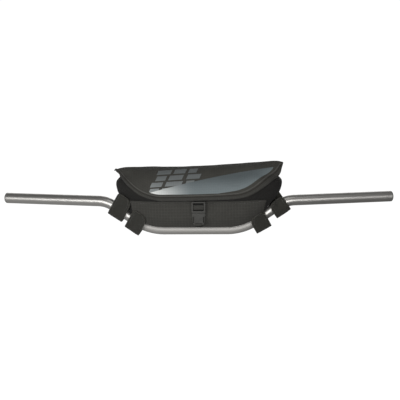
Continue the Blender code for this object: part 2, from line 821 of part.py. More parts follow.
def upper_hull(samples):
    # The line that a tight band takes over a row of heights.
    hull = []
    for point in samples:
        while len(hull) > 1:
            (x1, y1), (x2, y2) = hull[-2:]
            if (x2 - x1) * (point[1] - y1) - (y2 - y1) * (point[0] - x1) < 0:
                break
            hull.pop()
        hull.append(point)
    return hull


def read_line(line, x):
    for (x1, y1), (x2, y2) in zip(line, line[1:]):
        if x <= x2:
            return y1 + (y2 - y1) * (x - x1) / (x2 - x1)
    return line[-1][1]


def corner_inset(from_end, radius):
    # How far a rounded corner draws the side in, at a distance from the end.
    if from_end >= radius:
        return 0
    return radius - math.sqrt(max(radius ** 2 - (radius - from_end) ** 2, 0))


def strap_depth(axis, up, reach, slack, surface, stack):
    # The band's line on one side of the bar, from under the bar to the end of that leg.
    loop = BAR_RADIUS + BAR_GAP
    low = loop + slack
    samples = [(-low * math.cos(angle), loop * math.sin(angle))
               for angle in (math.pi / 2 * k / 8 for k in range(9))]
    for k in range(1, 17):
        away = reach * k / 16
        at = axis + up * away
        samples.append((away, max(loop, surface(at.x, at.z) + stack)))
    return upper_hull(samples)


def make_bar_strap(row, material, collection):
    # A band from the back, round the bar and up the front, leaning with the riser that it holds.
    centre_x = BAG_OFFSET + row.across * BAG_WIDTH / 2
    inner_side = -1 if row.across > 0 else 1
    angle = -inner_side * row.slope * RISER_ANGLE
    along_bar = Vector((math.cos(angle), 0, math.sin(angle)))
    up = Vector((-math.sin(angle), 0, math.cos(angle)))
    reach = row.reach * TAB_REACH
    slack = row.slack * STRAP_SLACK
    half = STRAP_WIDTH / 2
    low = BAR_RADIUS + BAR_GAP + slack
    arc = [-low * math.cos(math.pi / 2 * k / ARC_STEPS) for k in range(ARC_STEPS + 1)]
    rear = [(1, REAR_REACH * share) for share in REAR_ROWS] + [(1, away) for away in reversed(arc)]
    front = [(-1, away) for away in arc[1:]] + [(-1, reach * share) for share in FRONT_ROWS]
    grid = []
    for station in range(STRAP_STATIONS + 1):
        share = station / STRAP_STATIONS
        column = []
        for side, away in rear + front:
            from_end = reach - away if side < 0 else half
            inner = half - corner_inset(from_end, TAB_INNER_CORNER)
            outer = half - corner_inset(from_end, TAB_OUTER_CORNER)
            along = inner_side * (inner * share - outer * (1 - share))
            middle = bar_axis(centre_x) + along_bar * along
            if side < 0:
                line = strap_depth(middle, up, reach, slack, front_reach, PANEL_STACK + STRAP_GAP)
            else:
                line = strap_depth(middle, up, REAR_REACH, slack, back_reach, STRAP_GAP)
            point = middle + up * away
            point.y = bar_axis(point.x).y + side * read_line(line, away)
            column.append(point)
        grid.append(column)
    strap = finish_object("bar_strap_" + row.name, sheet_mesh(grid), material, collection)
    add_thickness(strap, STRAP_THICKNESS, 1 if inner_side > 0 else -1)


def build():
    remove_everything()
    bag = new_collection("handlebar_bag")
    cutters = new_collection("cutters")
    titanium_grey = new_material("titanium_grey", (0.16, 0.155, 0.15), 0.35, 0.9)
    plug_grey = new_material("plug_grey", (0.13, 0.125, 0.12), 0.45, 0.5)
    padded_cloth = new_material("padded_cloth", (0.022, 0.022, 0.022), 0.85)
    ripstop = new_material("ripstop", (0.034, 0.034, 0.033), 0.75)
    flap_cloth = new_material("flap_cloth", (0.030, 0.030, 0.029), 0.8)
    binding_tape = new_material("binding_tape", (0.038, 0.036, 0.034), 0.7)
    strap_cloth = new_material("strap_cloth", (0.034, 0.034, 0.032), 0.85)
    webbing = new_material("webbing", (0.03, 0.03, 0.03), 0.8)
    plastic = new_material("plastic", (0.05, 0.05, 0.05), 0.45)

    make_handlebar(titanium_grey, bag)
    for name, last, before in (("left", 0, 1), ("right", -1, -2)):
        direction = (BAR_POINTS[last] - BAR_POINTS[before]).normalized()
        make_plug("bar_end_plug_" + name, BAR_POINTS[last], direction, plug_grey, bag)
    make_body(padded_cloth, bag)
    make_front_panel(ripstop, bag)
    flap, flap_grid = make_flap(flap_cloth, bag)
    make_binding(flap, flap_grid, binding_tape, bag)

    edge = flap_grid[COLUMNS // 2][0]
    top_z = edge.z - BINDING_GAP - BINDING_THICKNESS - CLOTH_GAP
    place = buckle_place(top_z)
    socket_end = make_buckle(place, plastic, bag, cutters)
    make_webbing(place, socket_end, -edge.y, edge.z, webbing, bag)
    for row in BAR_STRAPS:
        make_bar_strap(row, strap_cloth, bag)


build()
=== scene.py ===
import math

import bmesh
import bpy
import numpy as np
from mathutils import Matrix, Vector, noise


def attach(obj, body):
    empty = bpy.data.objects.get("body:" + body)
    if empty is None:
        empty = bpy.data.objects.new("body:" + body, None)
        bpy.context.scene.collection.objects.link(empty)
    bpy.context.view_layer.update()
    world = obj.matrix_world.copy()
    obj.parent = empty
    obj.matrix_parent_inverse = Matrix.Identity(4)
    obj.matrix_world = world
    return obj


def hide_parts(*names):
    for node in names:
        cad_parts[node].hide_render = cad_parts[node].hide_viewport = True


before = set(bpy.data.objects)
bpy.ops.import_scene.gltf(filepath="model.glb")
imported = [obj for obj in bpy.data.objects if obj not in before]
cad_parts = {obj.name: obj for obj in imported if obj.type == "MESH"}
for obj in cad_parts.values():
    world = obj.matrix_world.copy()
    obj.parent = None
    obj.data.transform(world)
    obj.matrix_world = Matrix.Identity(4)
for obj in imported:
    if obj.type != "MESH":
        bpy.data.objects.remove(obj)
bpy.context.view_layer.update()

# Handlebar bag strapped over the middle of a wide bent bar. Metres, +Z up, the bag's front faces -Y.

bar = {
    "radius": 0.0111,
    "width": 0.820,
    "flatLength": 0.130,
    "riserAngle": math.radians(34),
    "lowerBend": 0.108,
    "upperBend": 0.060,
    "riserTopX": 0.1845,
    "gripRise": math.radians(1.7),
    "gripSweep": math.radians(13),
    "plugDome": 0.0065,
    "mattHalf": 0.10,
    "brightFrom": 0.15,
    "arcSteps": 5,
    "sides": 48,
}

pouch = {
    "offset": 0.0073,
    "width": 0.344,
    "height": 0.1105,
    "front": 0.055,
    "back": 0.022,
    "hem": 0.0075,
    "mouthDip": 0.0105,
    "barGap": 0.0009,
    "clothGap": 0.0006,
    # height, width, front, back, fullness: shares of the pouch's sizes at rising levels
    "levels": [
        (0.00, 0.930, 0.70, 0.80, 1.7),
        (0.14, 0.955, 0.96, 0.95, 1.8),
        (0.34, 0.982, 1.00, 1.00, 2.1),
        (0.48, 0.992, 0.96, 1.00, 2.6),
        (0.66, 1.000, 0.99, 1.00, 3.4),
        (0.84, 0.998, 0.93, 0.98, 3.3),
        (1.00, 0.945, 0.74, 0.86, 2.8),
    ],
}


def curveThrough(xs, ys, x):
    if x <= xs[0]:
        return ys[0]
    if x >= xs[-1]:
        return ys[-1]
    last = len(xs) - 1
    index = max(k for k in range(last) if xs[k] <= x)

    def slope(k):
        low, high = max(k - 1, 0), min(k + 1, last)
        return (ys[high] - ys[low]) / (xs[high] - xs[low])

    width = xs[index + 1] - xs[index]
    t = (x - xs[index]) / width
    return (
        ys[index] * (2 * t**3 - 3 * t**2 + 1)
        + slope(index) * width * (t**3 - 2 * t**2 + t)
        + ys[index + 1] * (3 * t**2 - 2 * t**3)
        + slope(index + 1) * width * (t**3 - t**2)
    )


def readTable(table, x, column=1):
    return curveThrough([row[0] for row in table], [row[column] for row in table], x)


def smoothStep(low, high, x):
    t = min(max((x - low) / (high - low), 0), 1)
    return t * t * (3 - 2 * t)


def gridArray(columns):
    return np.array([[tuple(p) for p in column] for column in columns], dtype=float)


def gridNormals(grid, outward):
    # normals of a grid of points, turned so that they point along outward on average
    across = np.gradient(grid, axis=0)
    along = np.gradient(grid, axis=1)
    normals = np.cross(across, along)
    normals /= np.linalg.norm(normals, axis=2, keepdims=True) + 1e-12
    if (normals * np.array(outward)).sum() < 0:
        normals = -normals
    return normals


def gridLengths(grid, axis):
    # arc length along one direction of the grid, from 0 at its first row or column
    steps = np.linalg.norm(np.diff(grid, axis=axis), axis=2)
    lengths = np.cumsum(steps, axis=axis)
    start = np.zeros_like(np.take(lengths, [0], axis=axis))
    return np.concatenate([start, lengths], axis=axis)


def placeObject(name, data):
    item = bpy.data.objects.new(name, data)
    bpy.context.scene.collection.objects.link(item)
    return item


def makeObject(name, points, faces, material, uv=None, sharp=50):
    mesh = bpy.data.meshes.new(name)
    mesh.from_pydata([tuple(p) for p in points], [], faces)
    if uv is not None:
        layer = mesh.uv_layers.new(name="clothMap")
        index = np.empty(len(mesh.loops), dtype=np.int32)
        mesh.loops.foreach_get("vertex_index", index)
        layer.data.foreach_set("uv", np.asarray(uv, dtype=np.float32)[index].ravel())
    mesh.shade_smooth()
    mesh.set_sharp_from_angle(angle=math.radians(sharp))
    mesh.materials.append(material)
    item = placeObject(name, mesh)
    fixNormals(item)
    return item


def fixNormals(item):
    work = bmesh.new()
    work.from_mesh(item.data)
    bmesh.ops.recalc_face_normals(work, faces=work.faces)
    if work.calc_volume(signed=True) < 0:
        bmesh.ops.reverse_faces(work, faces=work.faces)
    work.to_mesh(item.data)
    work.free()


def thickSheet(name, inner, outer, material, uv):
    # a closed sheet from two grids of points, with faces round its rim
    columns, rows = inner.shape[:2]
    count = columns * rows
    points = np.concatenate([outer.reshape(-1, 3), inner.reshape(-1, 3)])
    faces = []
    for c in range(columns - 1):
        for r in range(rows - 1):
            a, b = c * rows + r, (c + 1) * rows + r
            faces.append((a, b, b + 1, a + 1))
            faces.append((count + a, count + a + 1, count + b + 1, count + b))
    rim = [c * rows for c in range(columns)]
    rim += [(columns - 1) * rows + r for r in range(1, rows)]
    rim += [c * rows + rows - 1 for c in range(columns - 2, -1, -1)]
    rim += list(range(rows - 2, 0, -1))
    for here, there in zip(rim, rim[1:] + rim[:1]):
        faces.append((here, count + here, count + there, there))
    flat = uv.reshape(-1, 2)
    return makeObject(name, points, faces, material, np.concatenate([flat, flat]))


def sweptRing(name, rings, material, uv=None, closedEnds=True):
    # a closed skin through rings of points, each with the same count
    size = len(rings[0])
    points = [p for ring in rings for p in ring]
    faces = []
    for k in range(len(rings) - 1):
        for r in range(size):
            a, b = k * size + r, k * size + (r + 1) % size
            faces.append((a, a + size, b + size, b))
    if closedEnds:
        faces.append(tuple(range(size)))
        faces.append(tuple(range(len(points) - 1, len(points) - 1 - size, -1)))
    return makeObject(name, points, faces, material, uv)


def tubeAlong(path, radius, sides):
    # rings round a path of points, with a frame carried along it
    rings = []
    side = None
    for k, point in enumerate(path):
        run = (path[min(k + 1, len(path) - 1)] - path[max(k - 1, 0)]).normalized()
        if side is None:
            side = run.orthogonal().normalized()
        side = (side - run * side.dot(run)).normalized()
        up = run.cross(side)
        rings.append(
            [
                point + (side * math.cos(a) + up * math.sin(a)) * radius
                for a in (2 * math.pi * s / sides for s in range(sides))
            ]
        )
    return rings


def barPath(arcSteps):
    bendReach = bar["lowerBend"] * math.tan(bar["riserAngle"] / 2)
    lower = Vector((bar["flatLength"] / 2 + bendReach, 0, 0))
    upper = Vector((bar["riserTopX"], 0, (bar["riserTopX"] - lower.x) * math.tan(bar["riserAngle"])))
    rise, sweep = bar["gripRise"], bar["gripSweep"]
    grip = Vector((math.cos(rise) * math.cos(sweep), math.cos(rise) * math.sin(sweep), math.sin(rise)))
    end = upper + grip * ((bar["width"] / 2 - upper.x) / grip.x - bar["plugDome"])
    right = [lower, upper, end]
    corners = [Vector((-p.x, p.y, p.z)) for p in reversed(right)] + right
    radii = [bar["upperBend"], bar["lowerBend"], bar["lowerBend"], bar["upperBend"]]
    points = [corners[0]]
    for before, corner, after, radius in zip(corners, corners[1:], corners[2:], radii):
        incoming = (before - corner).normalized()
        outgoing = (after - corner).normalized()
        half = incoming.angle(outgoing) / 2
        centre = corner + (incoming + outgoing).normalized() * radius / math.sin(half)
        start = corner + incoming * radius / math.tan(half) - centre
        stop = corner + outgoing * radius / math.tan(half) - centre
        for step in range(arcSteps + 1):
            points.append(centre + start.normalized().slerp(stop.normalized(), step / arcSteps) * radius)
    points.append(corners[-1])
    return points


barLine = barPath(bar["arcSteps"])


def barAxis(x):
    for start, end in zip(barLine, barLine[1:]):
        if x <= end.x:
            break
    return start.lerp(end, (x - start.x) / (end.x - start.x))


def barSlope(x):
    run = barAxis(x + bar["radius"]) - barAxis(x - bar["radius"])
    return math.atan2(run.z, run.x)


def planShare(across, fullness):
    return max(1 - abs(across) ** fullness, 0) ** (1 / fullness)


def frontDepth(across, height, inset=0):
    full = readTable(pouch["levels"], height, 4)
    return (pouch["front"] * readTable(pouch["levels"], height, 2) - inset) * planShare(across, full)


def backDepth(across, height, inset=0):
    full = readTable(pouch["levels"], height, 4)
    return (pouch["back"] * readTable(pouch["levels"], height, 3) - inset) * planShare(across, full)


def bodyX(across, height, inset=0):
    half = pouch["width"] / 2 * readTable(pouch["levels"], height, 1)
    return pouch["offset"] + across * (half - 2 * inset)


def saddleZ(x, depth, inset=0):
    radius = bar["radius"] + pouch["barGap"] + inset
    return barAxis(x).z + math.sqrt(max(radius**2 - depth**2, 0)) / math.cos(barSlope(x))


def hemZ(x, across, inset=0):
    return max(barAxis(x).z + pouch["hem"] + inset, saddleZ(x, frontDepth(across, 0, inset), inset))


def mouthZ(x):
    across = (x - pouch["offset"]) / (pouch["width"] / 2)
    return pouch["hem"] + pouch["height"] - pouch["mouthDip"] * across**4


def frontPoint(across, height, inset=0):
    x = bodyX(across, height, inset)
    bottom = hemZ(x, across, inset)
    return Vector((x, -frontDepth(across, height, inset), bottom + height * (mouthZ(x) - bottom)))


def backPoint(across, height, inset=0):
    x = bodyX(across, height, inset)
    bottom = saddleZ(x, 0, inset)
    return Vector((x, backDepth(across, height, inset), bottom + height * (mouthZ(x) - bottom)))


def bodySection(across, heights, inset):
    points = [frontPoint(across, height, inset) for height in reversed(heights)]
    hem = points[-1]
    axis = barAxis(hem.x)
    steepness = math.cos(barSlope(hem.x))
    radius = bar["radius"] + pouch["barGap"] + inset
    start = math.asin(min((hem.z - axis.z) * steepness / radius, 1))
    grooveSteps = 8
    for step in range(1, grooveSteps + 1):
        angle = start + (math.pi / 2 - start) * step / grooveSteps
        height = axis.z + radius * math.sin(angle) / steepness
        points.append(Vector((hem.x, -radius * math.cos(angle), height)))
    foot = backPoint(across, 0, inset)
    points.append(Vector((hem.x, foot.y / 2, foot.z)))
    points.extend(backPoint(across, height, inset) for height in heights)
    return points


def findHeight(x, z, bottomOf):
    across = (x - pouch["offset"]) / (pouch["width"] / 2)
    for _ in range(3):
        bottom = bottomOf(x, across)
        height = (z - bottom) / (mouthZ(x) - bottom)
        halfWidth = pouch["width"] / 2 * readTable(pouch["levels"], height, 1)
        across = max(-1, min(1, (x - pouch["offset"]) / halfWidth))
    return across, height


def frontReach(x, z):
    across, height = findHeight(x, z, hemZ)
    if height > 1 or z < hemZ(x, across) - panelStack:
        return 0
    return frontDepth(across, max(height, 0))


def backReach(x, z):
    across, height = findHeight(x, z, lambda atX, _: saddleZ(atX, 0))
    if height > 1 or height < 0:
        return 0
    return backDepth(across, height)


class Nodes:
    # short calls for wiring a node tree
    def __init__(self, tree):
        self.tree = tree

    def add(self, kind, feeds=None, **settings):
        node = self.tree.nodes.new(kind)
        for name, value in settings.items():
            setattr(node, name, value)
        for name, value in (feeds or {}).items():
            self.feed(node.inputs[name], value)
        return node

    def link(self, source, target):
        self.tree.links.new(source, target)

    def feed(self, socket, value):
        if hasattr(value, "is_output"):
            self.link(value, socket)
        else:
            socket.default_value = value

    def math(self, operation, a, b=0.0, c=None):
        feeds = {0: a, 1: b} if c is None else {0: a, 1: b, 2: c}
        return self.add("ShaderNodeMath", feeds, operation=operation).outputs[0]

    def remap(self, value, low, high, toLow=0.0, toHigh=1.0, smooth=False):
        feeds = dict(enumerate((value, low, high, toLow, toHigh)))
        ease = "SMOOTHSTEP" if smooth else "LINEAR"
        return self.add("ShaderNodeMapRange", feeds, clamp=True, interpolation_type=ease).outputs[0]

    def noise(self, vector, scale, detail=2.0, roughness=0.5):
        feeds = {"Vector": vector, "Scale": scale, "Detail": detail, "Roughness": roughness}
        return self.add("ShaderNodeTexNoise", feeds).outputs[0]

    def mix(self, share, first, second):
        return self.add("ShaderNodeMix", {0: share, 6: first, 7: second}, data_type="RGBA").outputs[2]

    def split(self, vector):
        return self.add("ShaderNodeSeparateXYZ", {0: vector}).outputs

    def group(self, tree, **values):
        return self.add("ShaderNodeGroup", values, node_tree=tree).outputs


def newGroup(name, inputs, outputs):
    tree = bpy.data.node_groups.new(name, "ShaderNodeTree")
    for label, kind, value in inputs:
        socket = tree.interface.new_socket(label, in_out="INPUT", socket_type="NodeSocket" + kind)
        if value is not None:
            socket.default_value = value
    for label, kind in outputs:
        tree.interface.new_socket(label, in_out="OUTPUT", socket_type="NodeSocket" + kind)
    kit = Nodes(tree)
    return tree, kit, kit.add("NodeGroupInput"), kit.add("NodeGroupOutput")


def weaveGroup():
    # plain weave with a ripstop grid: height of the threads and a mask of the thicker grid threads
    tree, kit, start, end = newGroup(
        "clothWeave",
        [
            ("Map", "Vector", None),
            ("Thread", "Float", 0.0008),
            ("Cell", "Float", 0.005),
            ("Line", "Float", 0.12),
        ],
        [("Height", "Float"), ("Grid", "Float"), ("Tone", "Float")],
    )
    x, y, _ = kit.split(start.outputs["Map"])
    waves, lines = [], []
    for side in (x, y):
        turn = kit.math("MULTIPLY", kit.math("DIVIDE", side, start.outputs["Thread"]), math.pi)
        waves.append(kit.math("SINE", turn))
        share = kit.math("FRACT", kit.math("DIVIDE", side, start.outputs["Cell"]))
        away = kit.math("ABSOLUTE", kit.math("SUBTRACT", share, 0.5))
        lines.append(kit.remap(away, kit.math("SUBTRACT", 0.5, start.outputs["Line"]), 0.5, smooth=True))
    height = kit.math("MULTIPLY_ADD", kit.math("MULTIPLY", *waves), 0.5, 0.5)
    grid = kit.math("MAXIMUM", *lines)
    tone = kit.noise(start.outputs["Map"], 55.0, 3.0, 0.6)
    kit.link(height, end.inputs["Height"])
    kit.link(grid, end.inputs["Grid"])
    kit.link(tone, end.inputs["Tone"])
    return tree


def slantedBarGroup():
    # a slanted bar in the plane of X and Z, with soft ends: 1 inside, 0 outside
    tree, kit, start, end = newGroup(
        "slantedBar",
        [
            ("X", "Float", 0.0),
            ("Z", "Float", 0.0),
            ("Centre X", "Float", 0.0),
            ("Centre Z", "Float", 0.0),
            ("Half length", "Float", 0.01),
            ("Half height", "Float", 0.002),
            ("Slant", "Float", 0.5),
        ],
        [("Mask", "Float")],
    )
    out = start.outputs
    z = kit.math("SUBTRACT", out["Z"], out["Centre Z"])
    x = kit.math("SUBTRACT", out["X"], out["Centre X"])
    z = kit.math("MULTIPLY_ADD", x, -0.06, z)
    x = kit.math("SUBTRACT", x, kit.math("MULTIPLY", z, out["Slant"]))
    soft = 0.0003
    masks = []
    for value, limit in ((x, out["Half length"]), (z, out["Half height"])):
        over = kit.math("SUBTRACT", kit.math("ABSOLUTE", value), limit)
        masks.append(kit.remap(over, -soft, soft, 1.0, 0.0))
    kit.link(kit.math("MULTIPLY", masks[0], masks[1]), end.inputs["Mask"])
    return tree


def wearGroup():
    # slow unevenness of colour and gloss, the same on every finish
    tree, kit, start, end = newGroup(
        "softWear",
        [("Map", "Vector", None), ("Size", "Float", 40.0), ("Amount", "Float", 0.15)],
        [("Shade", "Float"), ("Fine", "Float")],
    )
    broad = kit.noise(start.outputs["Map"], start.outputs["Size"], 4.0, 0.55)
    fine = kit.noise(start.outputs["Map"], kit.math("MULTIPLY", start.outputs["Size"], 22.0), 3.0, 0.7)
    lift = kit.math("SUBTRACT", broad, 0.5)
    shade = kit.math("MULTIPLY_ADD", kit.math("MULTIPLY", lift, start.outputs["Amount"]), 2.0, 1.0)
    kit.link(shade, end.inputs["Shade"])
    kit.link(fine, end.inputs["Fine"])
    return tree


clothWeave = weaveGroup()
slantedBar = slantedBarGroup()
softWear = wearGroup()


def newFinish(name, roughness, metallic=0.0, **sockets):
    material = bpy.data.materials.new(name)
    material.use_nodes = True
    kit = Nodes(material.node_tree)
    shader = material.node_tree.nodes["Principled BSDF"]
    shader.inputs["Roughness"].default_value = roughness
    shader.inputs["Metallic"].default_value = metallic
    for label, value in sockets.items():
        shader.inputs[label.replace("_", " ")].default_value = value
    return material, kit, shader


def bumpInto(kit, shader, height, distance, strength=1.0):
    node = kit.add("ShaderNodeBump", {"Strength": strength, "Distance": distance, "Height": height})
    kit.link(node.outputs[0], shader.inputs["Normal"])


def scaledColor(kit, color, shade):
    return kit.add("ShaderNodeVectorMath", {0: color, "Scale": shade}, operation="SCALE").outputs[0]


def clothFinish(name, color, thread, cell, gridLift, useMap=True, sheen=0.04, bump=0.0002):
    # thread and cell are the spacings of the weave and of its thicker grid threads
    material, kit, shader = newFinish(
        name, 0.85, Sheen_Weight=sheen, Sheen_Roughness=0.5, Specular_IOR_Level=0.2
    )
    source = kit.add("ShaderNodeTexCoord").outputs
    where = source["UV"] if useMap else source["Object"]
    weave = kit.group(clothWeave, Map=where, Thread=thread, Cell=cell)
    wear = kit.group(softWear, Map=source["Object"], Size=30.0, Amount=0.10)
    lift = kit.math("MULTIPLY_ADD", weave["Grid"], gridLift, 1.0)
    # threads painted darker where the weave dips: painted shade between the threads
    lift = kit.math("MULTIPLY", lift, kit.math("MULTIPLY_ADD", weave["Height"], 0.35, 0.82))
    lift = kit.math("MULTIPLY", lift, wear["Shade"])
    lift = kit.math("MULTIPLY", lift, kit.math("MULTIPLY_ADD", weave["Tone"], 0.3, 0.85))
    kit.link(scaledColor(kit, color, lift), shader.inputs["Base Color"])
    height = kit.math("MULTIPLY_ADD", weave["Grid"], 0.8, weave["Height"])
    bumpInto(kit, shader, height, bump)
    return material, kit, shader


# base colours of the finishes
colors = {
    "titanium": (0.47, 0.46, 0.44),
    "plug": (0.36, 0.355, 0.34),
    "flap": (0.0500, 0.0487, 0.0430),
    "sweep": (0.116, 0.138, 0.144, 1),
    "paleSweep": (0.60, 0.61, 0.59, 1),
    "slantedBars": (0.170, 0.184, 0.184, 1),
    "pouch": (0.0168, 0.0162, 0.0150),
    "ripstop": (0.0485, 0.0472, 0.0422),
    "piping": (0.052, 0.051, 0.046),
    "strap": (0.0330, 0.0321, 0.0270),
    "webbing": (0.046, 0.0450, 0.0405),
    "tape": (0.0430, 0.0420, 0.0372, 1),
    # painted shade in the binding tape's groove and painted highlight on its outer ridge
    "tapeGrooveShade": (0.022, 0.0196, 0.0156, 1),
    "tapeRidgeHighlight": (0.080, 0.0782, 0.0705, 1),
    "plastic": (0.042, 0.0412, 0.0370),
    "thread": (0.085, 0.083, 0.076),
}


def metalFinish():
    material, kit, shader = newFinish("titaniumGrey", 0.36, 0.9)
    source = kit.add("ShaderNodeTexCoord").outputs["Object"]
    stretch = kit.add("ShaderNodeMapping", {"Vector": source, "Scale": (0.25, 1.0, 1.0)})
    wear = kit.group(softWear, Map=stretch.outputs[0], Size=90.0, Amount=0.05)
    kit.link(scaledColor(kit, colors["titanium"], wear["Shade"]), shader.inputs["Base Color"])
    # matt middle, where a clamp grips the bar
    x, _, _ = kit.split(source)
    blasted = kit.remap(kit.math("ABSOLUTE", x), bar["mattHalf"], bar["brightFrom"], 1.0, 0.0, smooth=True)
    rough = kit.remap(wear["Fine"], 0.3, 0.7, 0.33, 0.42)
    kit.link(kit.math("MULTIPLY_ADD", blasted, 0.28, rough), shader.inputs["Roughness"])
    bumpInto(kit, shader, wear["Fine"], 0.00004, 0.6)
    return material


def wornFinish(name, color, size, amount, roughness, metallic=0.0, gloss=None, bump=None, **sockets):
    # one colour with slow unevenness; gloss is the least and most roughness, bump its distance and strength
    material, kit, shader = newFinish(name, roughness, metallic, **sockets)
    source = kit.add("ShaderNodeTexCoord").outputs["Object"]
    wear = kit.group(softWear, Map=source, Size=size, Amount=amount)
    kit.link(scaledColor(kit, color, wear["Shade"]), shader.inputs["Base Color"])
    if gloss:
        kit.link(kit.remap(wear["Fine"], 0.3, 0.7, *gloss), shader.inputs["Roughness"])
    if bump:
        bumpInto(kit, shader, wear["Fine"], *bump)
    return material


def flapFinish():
    # printed cloth: a pale sweep rising to the right and a cluster of slanted bars
    thread, cell = 0.0009, 0.0048
    material, kit, shader = clothFinish(
        "printedFlapCloth", colors["flap"], thread, cell, 0.20, bump=0.00016
    )
    base = shader.inputs["Base Color"].links[0].from_socket
    source = kit.add("ShaderNodeTexCoord").outputs
    x, _, z = kit.split(source["Object"])
    _, down, _ = kit.split(source["UV"])
    # below the sweep's bowed upper line
    along = kit.math("SUBTRACT", x, printed["tipX"])
    straight = kit.math("MULTIPLY_ADD", along, printed["slope"], printed["tipZ"])
    bow = kit.math("MULTIPLY", along, kit.math("SUBTRACT", printed["bowEndX"], x))
    line = kit.math("SUBTRACT", z, kit.math("MULTIPLY_ADD", bow, printed["bow"], straight))
    sweep = kit.remap(line, -0.0004, 0.0004, 1.0, 0.0)
    # clear of the binding, by more toward the right tip
    margin = kit.remap(x, printed["widenFromX"], printed["widenToX"], printed["edgeGap"], printed["tipGap"])
    inside = kit.remap(kit.math("SUBTRACT", down, margin), 0.0, 0.0006)
    sweep = kit.math("MULTIPLY", sweep, inside)
    # printed on the hanging part's outer face only
    _, facing, _ = kit.split(source["Normal"])
    hanging = kit.remap(down, printed["reach"], printed["reach"] + 0.0006, 1.0, 0.0)
    front = kit.math("MULTIPLY", hanging, kit.remap(facing, 0.0, 0.12, 1.0, 0.0))
    bars = None
    for centreX, centreZ, halfLength, halfHeight in printed["bars"]:
        mask = kit.group(
            slantedBar,
            **{
                "X": x,
                "Z": z,
                "Centre X": centreX,
                "Centre Z": centreZ,
                "Half length": halfLength,
                "Half height": halfHeight,
                "Slant": printed["slant"],
            },
        )["Mask"]
        bars = mask if bars is None else kit.math("MAXIMUM", bars, mask)
    ink = kit.math("MULTIPLY", kit.math("MAXIMUM", sweep, bars), front)
    pale = kit.remap(x, printed["tipX"], printed["paleToX"], 1.0, 0.0, smooth=True)
    paleTop = printed["edgeGap"] + printed["paleHeight"]
    low = kit.remap(down, printed["edgeGap"], paleTop, 1.0, 0.0, smooth=True)
    shade = kit.math("MULTIPLY_ADD", low, 0.58, 0.80)
    paleShare = kit.math("MULTIPLY", pale, kit.math("MULTIPLY_ADD", low, 0.7, 0.3))
    tone = kit.mix(paleShare, colors["sweep"], colors["paleSweep"])
    barsAlone = kit.math("MULTIPLY", bars, kit.math("SUBTRACT", 1.0, sweep))
    tone = kit.mix(barsAlone, tone, colors["slantedBars"])
    weave = kit.group(clothWeave, Map=source["UV"], Thread=thread, Cell=cell)
    shade = kit.math("MULTIPLY", shade, kit.math("MULTIPLY_ADD", weave["Grid"], 0.10, 0.97))
    tone = scaledColor(kit, tone, shade)
    kit.link(kit.mix(ink, base, tone), shader.inputs["Base Color"])
    kit.link(kit.remap(ink, 0.0, 1.0, 0.85, 0.48), shader.inputs["Roughness"])
    return material


printed = {
    "tipX": -0.104,
    "tipZ": 0.0725,
    "slope": 0.207,
    "bow": 0.28,
    "bowEndX": 0.160,
    "paleToX": 0.005,
    "paleHeight": 0.035,
    "reach": 0.088,
    "slant": 0.45,
    "widenFromX": 0.05,
    "widenToX": 0.165,
    "edgeGap": 0.0125,
    "tipGap": 0.0240,
    # centre X, centre Z, half length, half height of the slanted bars
    "bars": [
        (-0.060, 0.1175, 0.0140, 0.0042),
        (-0.028, 0.1195, 0.0120, 0.0042),
        (-0.002, 0.1208, 0.0085, 0.0042),
        (-0.066, 0.1052, 0.0100, 0.0046),
        (-0.036, 0.1070, 0.0140, 0.0046),
        (0.000, 0.1091, 0.0135, 0.0046),
        (-0.075, 0.0925, 0.0115, 0.0044),
        (-0.040, 0.0946, 0.0165, 0.0044),
        (-0.008, 0.0965, 0.0080, 0.0044),
        (-0.080, 0.0815, 0.0090, 0.0030),
        (-0.055, 0.0830, 0.0095, 0.0030),
    ],
}

titaniumGrey = metalFinish()
plugGrey = wornFinish("plugGrey", colors["plug"], 120.0, 0.08, 0.42, metallic=0.75, bump=(0.00005, 0.5))
flapCloth = flapFinish()
paddedCloth = clothFinish("paddedCloth", colors["pouch"], 0.0016, 0.0036, 0.30, useMap=False)[0]
ripstopCloth = clothFinish("ripstopCloth", colors["ripstop"], 0.0008, 0.0060, 0.34)[0]
pipingCloth = clothFinish("pipingCloth", colors["piping"], 0.0008, 0.003, 0.0, useMap=False)[0]


def strapClothWithPaintedRim():
    # u is the distance from the strap's nearer side, v the distance from the tab's end; the tab's rim is
    # painted lighter as a painted highlight, and a line along the seam is painted darker as painted shade
    material, kit, shader = clothFinish(
        "hookAndLoopCloth", colors["strap"], 0.0006, 0.002, 0.0, useMap=False, sheen=0.08, bump=0.0003
    )
    base = shader.inputs["Base Color"].links[0].from_socket
    u, v, _ = kit.split(kit.add("ShaderNodeTexCoord").outputs["UV"])
    fromRim = kit.math("MINIMUM", u, v)
    # painted highlight along the tab's rounded rim
    rim = kit.remap(fromRim, 0.0012, 0.0026, 0.55, 0.0, smooth=True)
    fromSeam = kit.math("ABSOLUTE", kit.math("SUBTRACT", fromRim, 0.0034))
    # painted shade along the seam's dip, 3.4 mm in from the rim
    paintedSeamShade = kit.remap(fromSeam, 0.0004, 0.0012, 0.22, 0.0)
    lift = kit.math("SUBTRACT", kit.math("ADD", rim, 1.0), paintedSeamShade)
    kit.link(scaledColor(kit, base, lift), shader.inputs["Base Color"])
    return material


def webbingWithSlotShade(name, frontY):
    # painted shade: darker where the ribbon lies deep in the buckle's slots, further behind the webbing's
    # front
    material, kit, shader = clothFinish(
        name, colors["webbing"], 0.0012, 0.0024, 0.2, useMap=False, bump=0.0003
    )
    base = shader.inputs["Base Color"].links[0].from_socket
    _, y, _ = kit.split(kit.add("ShaderNodeTexCoord").outputs["Object"])
    # painted shade: the colour falls to 0.22 of itself over 1.6 mm behind the webbing's front
    depth = kit.remap(y, frontY + 0.0006, frontY + 0.0022, 1.0, 0.22, smooth=True)
    kit.link(scaledColor(kit, base, depth), shader.inputs["Base Color"])
    return material


strapCloth = strapClothWithPaintedRim()


